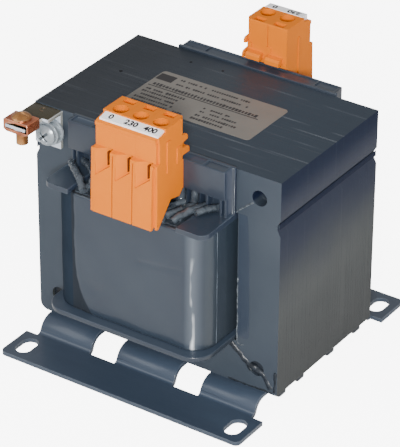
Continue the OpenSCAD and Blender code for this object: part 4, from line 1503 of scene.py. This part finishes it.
@dataclass
class TerminalRows(Assembly):
    """The orange clamp rows with their tags and print. Sizes in millimetres.

    Attributes:
        slit_place: From a pole's side to its test slit.
        slit_drop: The slit's foot and head, below the pole's top.
        slit_depth: The strip's near and far face, behind the pole's front.
        slit_half: Half the width of the strip.
        tongue: How much wider the first front pole is on its left.
        rib_y: Near and far side of the rib on the back row.
        rib_z: Foot and head of the rib.
        rib_out: How far the rib stands out.
        print_size: Size of the numbers.
        print_weight: How much bolder than plain they are.
        print_stretch: How much wider than plain they are.
        front_numbers: Each number and its place across the front row.
        back_numbers: Each number and its place across the back row.
        front_drop: How far the front tags fall towards their outer edge.
        back_drop: How far the back tags fall towards their outer edge.
    """

    slit_place: float = 5.55
    slit_drop: tuple[float, float] = (16.0, 11.3)
    slit_depth: tuple[float, float] = (0.95, 2.4)
    slit_half: float = 0.15
    tongue: float = 0.85
    rib_y: tuple[float, float] = (41.3, 42.2)
    rib_z: tuple[float, float] = (82.4, 97.0)
    rib_out: float = 0.25
    print_size: float = 3.0
    print_weight: float = 0.11
    print_stretch: float = 1.08
    front_numbers: dict = field(default_factory=lambda: {"0": -4.8, "230": 2.9, "400": 10.2})
    back_numbers: dict = field(default_factory=lambda: {"230": 4.0, "0": -3.6})
    front_drop: float = 0.7
    back_drop: float = 0.2

    def build(self) -> None:
        """Dress the bodies, the tags and the metal, then add the dark strips of painted shade in the slits,
        the numbers and the rib.
        """
        ways = [(Row.FRONT, i) for i in (1, 2, 3)] + [(Row.BACK, i) for i in (1, 2)]
        self.paint([f"{row.value}_pole_{i}" for row, i in ways], Paint.ORANGE)
        self.paint([f"{row.value}_end_plate" for row in Row], Paint.ORANGE)
        self.paint([f"{row.value}_tag_{i}" for row, i in ways], Paint.TAG)
        self.paint(("terminal_cages", "terminal_screws", "terminal_posts"), Paint.STEEL)
        for row, i in ways:
            self.slit(row, f"{row.value}_pole_{i}")
        self.numbers(Row.FRONT, "front_tag_2", self.front_numbers, self.front_drop)
        self.numbers(Row.BACK, "back_tag_1", self.back_numbers, self.back_drop)
        face = reach("back_pole_1")[1].x + self.rib_out
        (near, far), (low, high) = self.rib_y, self.rib_z
        corners = [mm(face, y, z) for y, z in ((near, low), (far, low), (far, high), (near, high))]
        rib = solid_plate("back_pole_rib", corners, mm(-self.rib_out - 0.1, 0.0, 0.0))
        self.fit(rib, Paint.ORANGE, "terminal_orange")

    def slit(self, row: Row, pole: str) -> None:
        """Put a dark strip into the test slit of a pole's wire funnel, as painted shade in the slit.

        Args:
            row: The pole's row.
            pole: The pole's node.
        """
        low, high = reach(pole)
        front = row is Row.FRONT
        x = low.x + self.slit_place if front else high.x - self.slit_place
        if pole == "front_pole_1":
            x += self.tongue
        near, far = sorted(low.y + d if front else high.y - d for d in self.slit_depth)
        left, right = x - self.slit_half, x + self.slit_half
        bottom, top = (high.z - drop for drop in self.slit_drop)
        outline = [mm(a, near, z) for a, z in ((left, bottom), (right, bottom), (right, top), (left, top))]
        # dark strip of painted shade in the slit
        strip = solid_plate(pole + "_slit", outline, mm(0.0, far - near, 0.0))
        self.fit(strip, Paint.SLIT_SHADE, "terminal_orange")

    def numbers(self, row: Row, tag: str, places: dict[str, float], drop: float) -> None:
        """Print plain voltage numbers along a row of tags.

        Args:
            row: The row.
            tag: The node of a tag of this row.
            places: Each number and its place across the row.
            drop: How far the tags fall towards their outer edge.
        """
        low, high = reach(tag)
        inner, outer, heading = (high.y, low.y, 0.0) if row is Row.FRONT else (low.y, high.y, math.pi)
        turn = Matrix.Rotation(heading, 4, "Z")
        tilt = Matrix.Rotation(math.atan2(drop, abs(outer - inner)), 4, "X")
        for words, x in places.items():
            data = bpy.data.curves.new(f"{row.value}_number_{words}", "FONT")
            data.body = words
            data.size = self.print_size * MM
            data.align_x = data.align_y = "CENTER"
            data.extrude = 0.01 * MM
            data.offset = self.print_weight * MM
            holder = linked(data.name, data)
            middle = mm(x, (inner + outer) / 2, high.z - drop / 2 + 0.012)
            holder.matrix_world = (Matrix.Translation(middle) @ turn @ tilt
                                   @ Matrix.Diagonal((self.print_stretch, 1.0, 1.0, 1.0)))
            self.fit(plain_mesh(holder, data.name), Paint.INK, "tag_white")


@dataclass
class RatingLabel(Assembly):
    """The label on the core with fields of print. Sizes in millimetres."""

    print_rise: float = 0.02
    bar_rise: float = 0.015
    bar_depth: float = 0.025

    def build(self) -> None:
        """Dress the label and lay the rows of print on it."""
        self.paint(("rating_label",), Paint.LABEL)
        top = reach("rating_label")[1].z + self.print_rise
        rows = (  # name, left end, right end, y, step, height, share filled
            ("print_head_1", -16.7, 10.8, 9.5, 0.95, 1.15, 0.86),
            ("print_head_2", -16.4, 12.3, 6.3, 0.95, 1.15, 0.86),
            ("print_title", -23.2, 18.6, 2.75, 1.25, 1.9, 0.94),
            ("print_left_1", -23.3, -16.6, -1.1, 0.95, 1.15, 0.86),
            ("print_left_strong", -15.6, -7.7, -0.9, 1.1, 1.5, 1.0),
            ("print_left_2", -23.6, -8.9, -3.1, 0.95, 1.15, 0.84),
            ("print_left_3", -23.6, -8.9, -5.4, 0.95, 1.15, 0.84),
            ("print_left_4", -23.6, -8.5, -7.7, 0.95, 1.15, 0.84),
            ("print_left_5", -23.2, -3.5, -9.9, 0.95, 1.15, 0.84),
            ("print_right_1", 0.3, 11.2, -2.4, 0.95, 1.15, 0.84),
            ("print_right_2", 0.5, 14.3, -4.8, 0.95, 1.2, 0.86),
            ("print_right_3", 0.4, 16.2, -7.5, 1.0, 1.4, 0.82),
            ("print_right_4", 0.2, 12.4, -9.9, 1.05, 1.4, 0.96),
        )
        for seed, (name, left, right, y, step, height, filled) in enumerate(rows, 2):
            piece = self.shapes.grow(self.shapes.words, name, {
                "Count": round((right - left) / step), "Start": tuple(mm(left + step / 2, y, top)),
                "Step": (step * MM, 0.0, 0.0), "Height": height * MM, "Shortest": 0.5, "Filled": filled,
                "Seed": seed, "Material": Paint.PRINT.material(self.groups)})
            settle(piece)
        bars = (("print_rule", -24.1, 19.2, 1.2, 0.4), ("print_block", -24.6, -18.4, 8.1, 4.2))
        for name, left, right, y, height in bars:
            low, high, z = y - height / 2, y + height / 2, top + self.bar_rise
            corners = [mm(left, low, z), mm(right, low, z), mm(right, high, z), mm(left, high, z)]
            bar = solid_plate(name, corners, mm(0.0, 0.0, -self.bar_depth))
            self.fit(bar, Paint.PRINT, "label_film")


@dataclass
class EarthTerminal(Assembly):
    """The earth bracket, its screw stack and the saddle clamp. Sizes in millimetres.

    Attributes:
        core: Radius that the saddle screw's thread is wound at.
        ridge: Radius of the thread's ridge.
        thread: Length of the thread.
        recess: Depth of the cross recess in the screw's head.
        cross_reach: Half the length of an arm of the cross.
        cross_half: Half the width of an arm.
        mark_x: Middle of the earth mark, across.
        mark_y: Middle of the earth mark, along the stack.
        mark_radius: Radius of the mark.
        mark_line: The line that it is stamped with.
    """

    core: float = 1.75
    ridge: float = 0.25
    thread: float = 5.0
    recess: float = 0.45
    cross_reach: float = 2.1
    cross_half: float = 0.42
    mark_x: float = -42.5
    mark_y: float = -32.2
    mark_radius: float = 1.1
    mark_line: Strand = Strand(0.14, 0.05, 300.0, 8, 60.0)

    def build(self) -> None:
        """Round, dress and thread the earth terminal."""
        parts = (("earth_bracket", 0.25, Paint.OLIVE, "earth_olive"),
                 ("earth_screw", 0.25, Paint.ZINC, "earth_zinc"),
                 ("earth_spring_washer", 0.12, Paint.ZINC, "earth_zinc"),
                 ("earth_flat_washers", 0.15, Paint.ZINC, "earth_zinc"),
                 ("earth_nut", 0.3, Paint.ZINC, "earth_zinc"),
                 ("earth_saddle", 0.5, Paint.SADDLE, "earth_copper"),
                 ("earth_saddle_screw", 0.2, Paint.BRASS, "earth_copper"))
        for node, width, finish, slot in parts:
            self.fit(softened(node, node + "_finished", width, 3), finish, slot, node)
        low, high = reach("earth_saddle_screw")
        thread = self.shapes.grow(self.shapes.thread, "saddle_screw_thread", {
            "Radius": self.core * MM, "Length": self.thread * MM, "Turns": 7.0, "Ridge": self.ridge * MM,
            "Place": tuple(mm((low.x + high.x) / 2, (low.y + high.y) / 2, low.z + 0.3)),
            "Material": Paint.SADDLE.material(self.groups)})
        smooth(thread, 60)
        settle(thread)
        self.cross()
        self.mark()

    def cross(self) -> None:
        """Darken the floor of the cross recess in the screw's head."""
        low, high = reach("earth_screw")
        middle = mm((low.x + high.x) / 2, low.y + self.recess, (low.z + high.z) / 2)
        points, faces = [], []
        for turn in (math.pi / 4, 3 * math.pi / 4):
            along = mm(math.cos(turn), 0.0, math.sin(turn)) * self.cross_reach
            across = mm(-math.sin(turn), 0.0, math.cos(turn)) * self.cross_half
            faces += plate_faces(4, len(points))
            for depth in (0.0, 0.06):
                points += [middle + along * a + across * b + mm(0.0, depth, 0.0)
                           for a, b in ((-1, -1), (1, -1), (1, 1), (-1, 1))]
        self.fit(mesh_object("earth_screw_cross", points, faces), Paint.RECESS, "earth_zinc")

    def mark(self) -> None:
        """Stamp the open ring of an earth point on top of the bracket."""
        top = reach("earth_bracket")[1].z + 0.02
        middle = mm(self.mark_x, self.mark_y, top)
        arc = [middle + mm(math.cos(a), math.sin(a), 0.0) * self.mark_radius
               for a in (math.radians(60 + 50 * i) for i in range(6))]
        self.strand("earth_mark", arc, self.mark_line, Paint.STEEL, "earth_olive")


def aimed(place: Vector, target: Vector) -> Matrix:
    """Give the placing of a lamp or camera that looks from a place at a target, both in metres."""
    turn = (target - place).to_track_quat("-Z", "Y")
    return Matrix.Translation(place) @ turn.to_matrix().to_4x4()


@dataclass
class Studio:
    """Floor, light and camera. Sizes in metres, and the camera's places in millimetres."""

    spot: tuple[float, float, float] = (449.98, -671.75, 521.98)
    target: tuple[float, float, float] = (-8.06, 8.6, 34.9)
    roll: float = 0.3717
    lens: float = 226.09
    floor_half: float = 6.0
    floor_glow: float = 7.0
    sky_glow: float = 0.5
    lamp_target: tuple[float, float, float] = (0.0, 0.0, 0.05)

    def build(self) -> None:
        """Build the floor, the lights and the camera."""
        self.floor()
        self.lights()
        self.camera()

    def floor(self) -> None:
        """Lay a plain pale floor under the feet."""
        half = self.floor_half
        corners = [Vector((x * half, y * half, 0.0)) for x, y in ((-1, -1), (1, -1), (1, 1), (-1, 1))]
        floor = mesh_object("pale_floor", corners, [(0, 1, 2, 3)])
        paint = bpy.data.materials.new("pale_floor")
        paint.use_nodes = True
        tree = Tree(paint.node_tree)
        seen = tree.add("ShaderNodeLightPath").outputs["Is Camera Ray"]
        shader = paint.node_tree.nodes["Principled BSDF"]
        for name, value in (("Base Color", (0.92, 0.92, 0.92)), ("Roughness", 0.9),
                            ("Emission Color", (1.0, 1.0, 1.0)),
                            ("Emission Strength", tree.maths("MULTIPLY", seen, self.floor_glow))):
            tree.feed(shader.inputs[name], value)
        floor.data.materials.append(paint)

    def lamp(self, name: str, place: Vector, size: float, power: float, tint: Colour) -> None:
        """Hang a soft square lamp that looks at the transformer.

        Args:
            name: Name of the lamp.
            place: Where it hangs, in metres.
            size: Its width in metres.
            power: Its power in watts.
            tint: Its colour.
        """
        data = bpy.data.lights.new(name, "AREA")
        data.size = size
        data.energy = power
        data.color = tint
        made = linked(name, data)
        made.matrix_world = aimed(place, Vector(self.lamp_target))

    def lights(self) -> None:
        """Set plain soft studio light."""
        world = bpy.data.worlds.new("studio")
        bpy.context.scene.world = world
        world.use_nodes = True
        sky = world.node_tree.nodes["Background"]
        sky.inputs["Color"].default_value = (1.0, 1.0, 1.0, 1.0)
        sky.inputs["Strength"].default_value = self.sky_glow
        self.lamp("key", Vector((0.49, -0.79, 0.48)), 0.17, 15.0, (1.0, 0.99, 0.98))
        self.lamp("soft_left", Vector((-0.7, -0.9, 0.9)), 0.8, 4.5, (0.96, 0.98, 1.0))

    def camera(self) -> None:
        """Stand the camera at the viewing angle."""
        data = bpy.data.cameras.new("camera")
        data.lens = self.lens
        data.sensor_width = 36.0
        data.clip_start, data.clip_end = 0.01, 50.0
        made = linked("camera", data)
        roll = Matrix.Rotation(math.radians(self.roll), 4, "Z")
        made.matrix_world = aimed(mm(*self.spot), mm(*self.target)) @ roll
        bpy.context.scene.camera = made


def main() -> None:
    """Build every sub-assembly in order, then the studio round it."""
    logging.basicConfig(level=logging.INFO, format="%(name)s: %(message)s")
    groups, shapes = ShaderGroups(), NodeShapes()
    for assembly in (SheetCore, Coil, Feet, TerminalRows, RatingLabel, EarthTerminal):
        assembly(shapes, groups).build()
    Studio().build()
    bpy.context.view_layer.update()


if __name__ == "__main__":
    main()
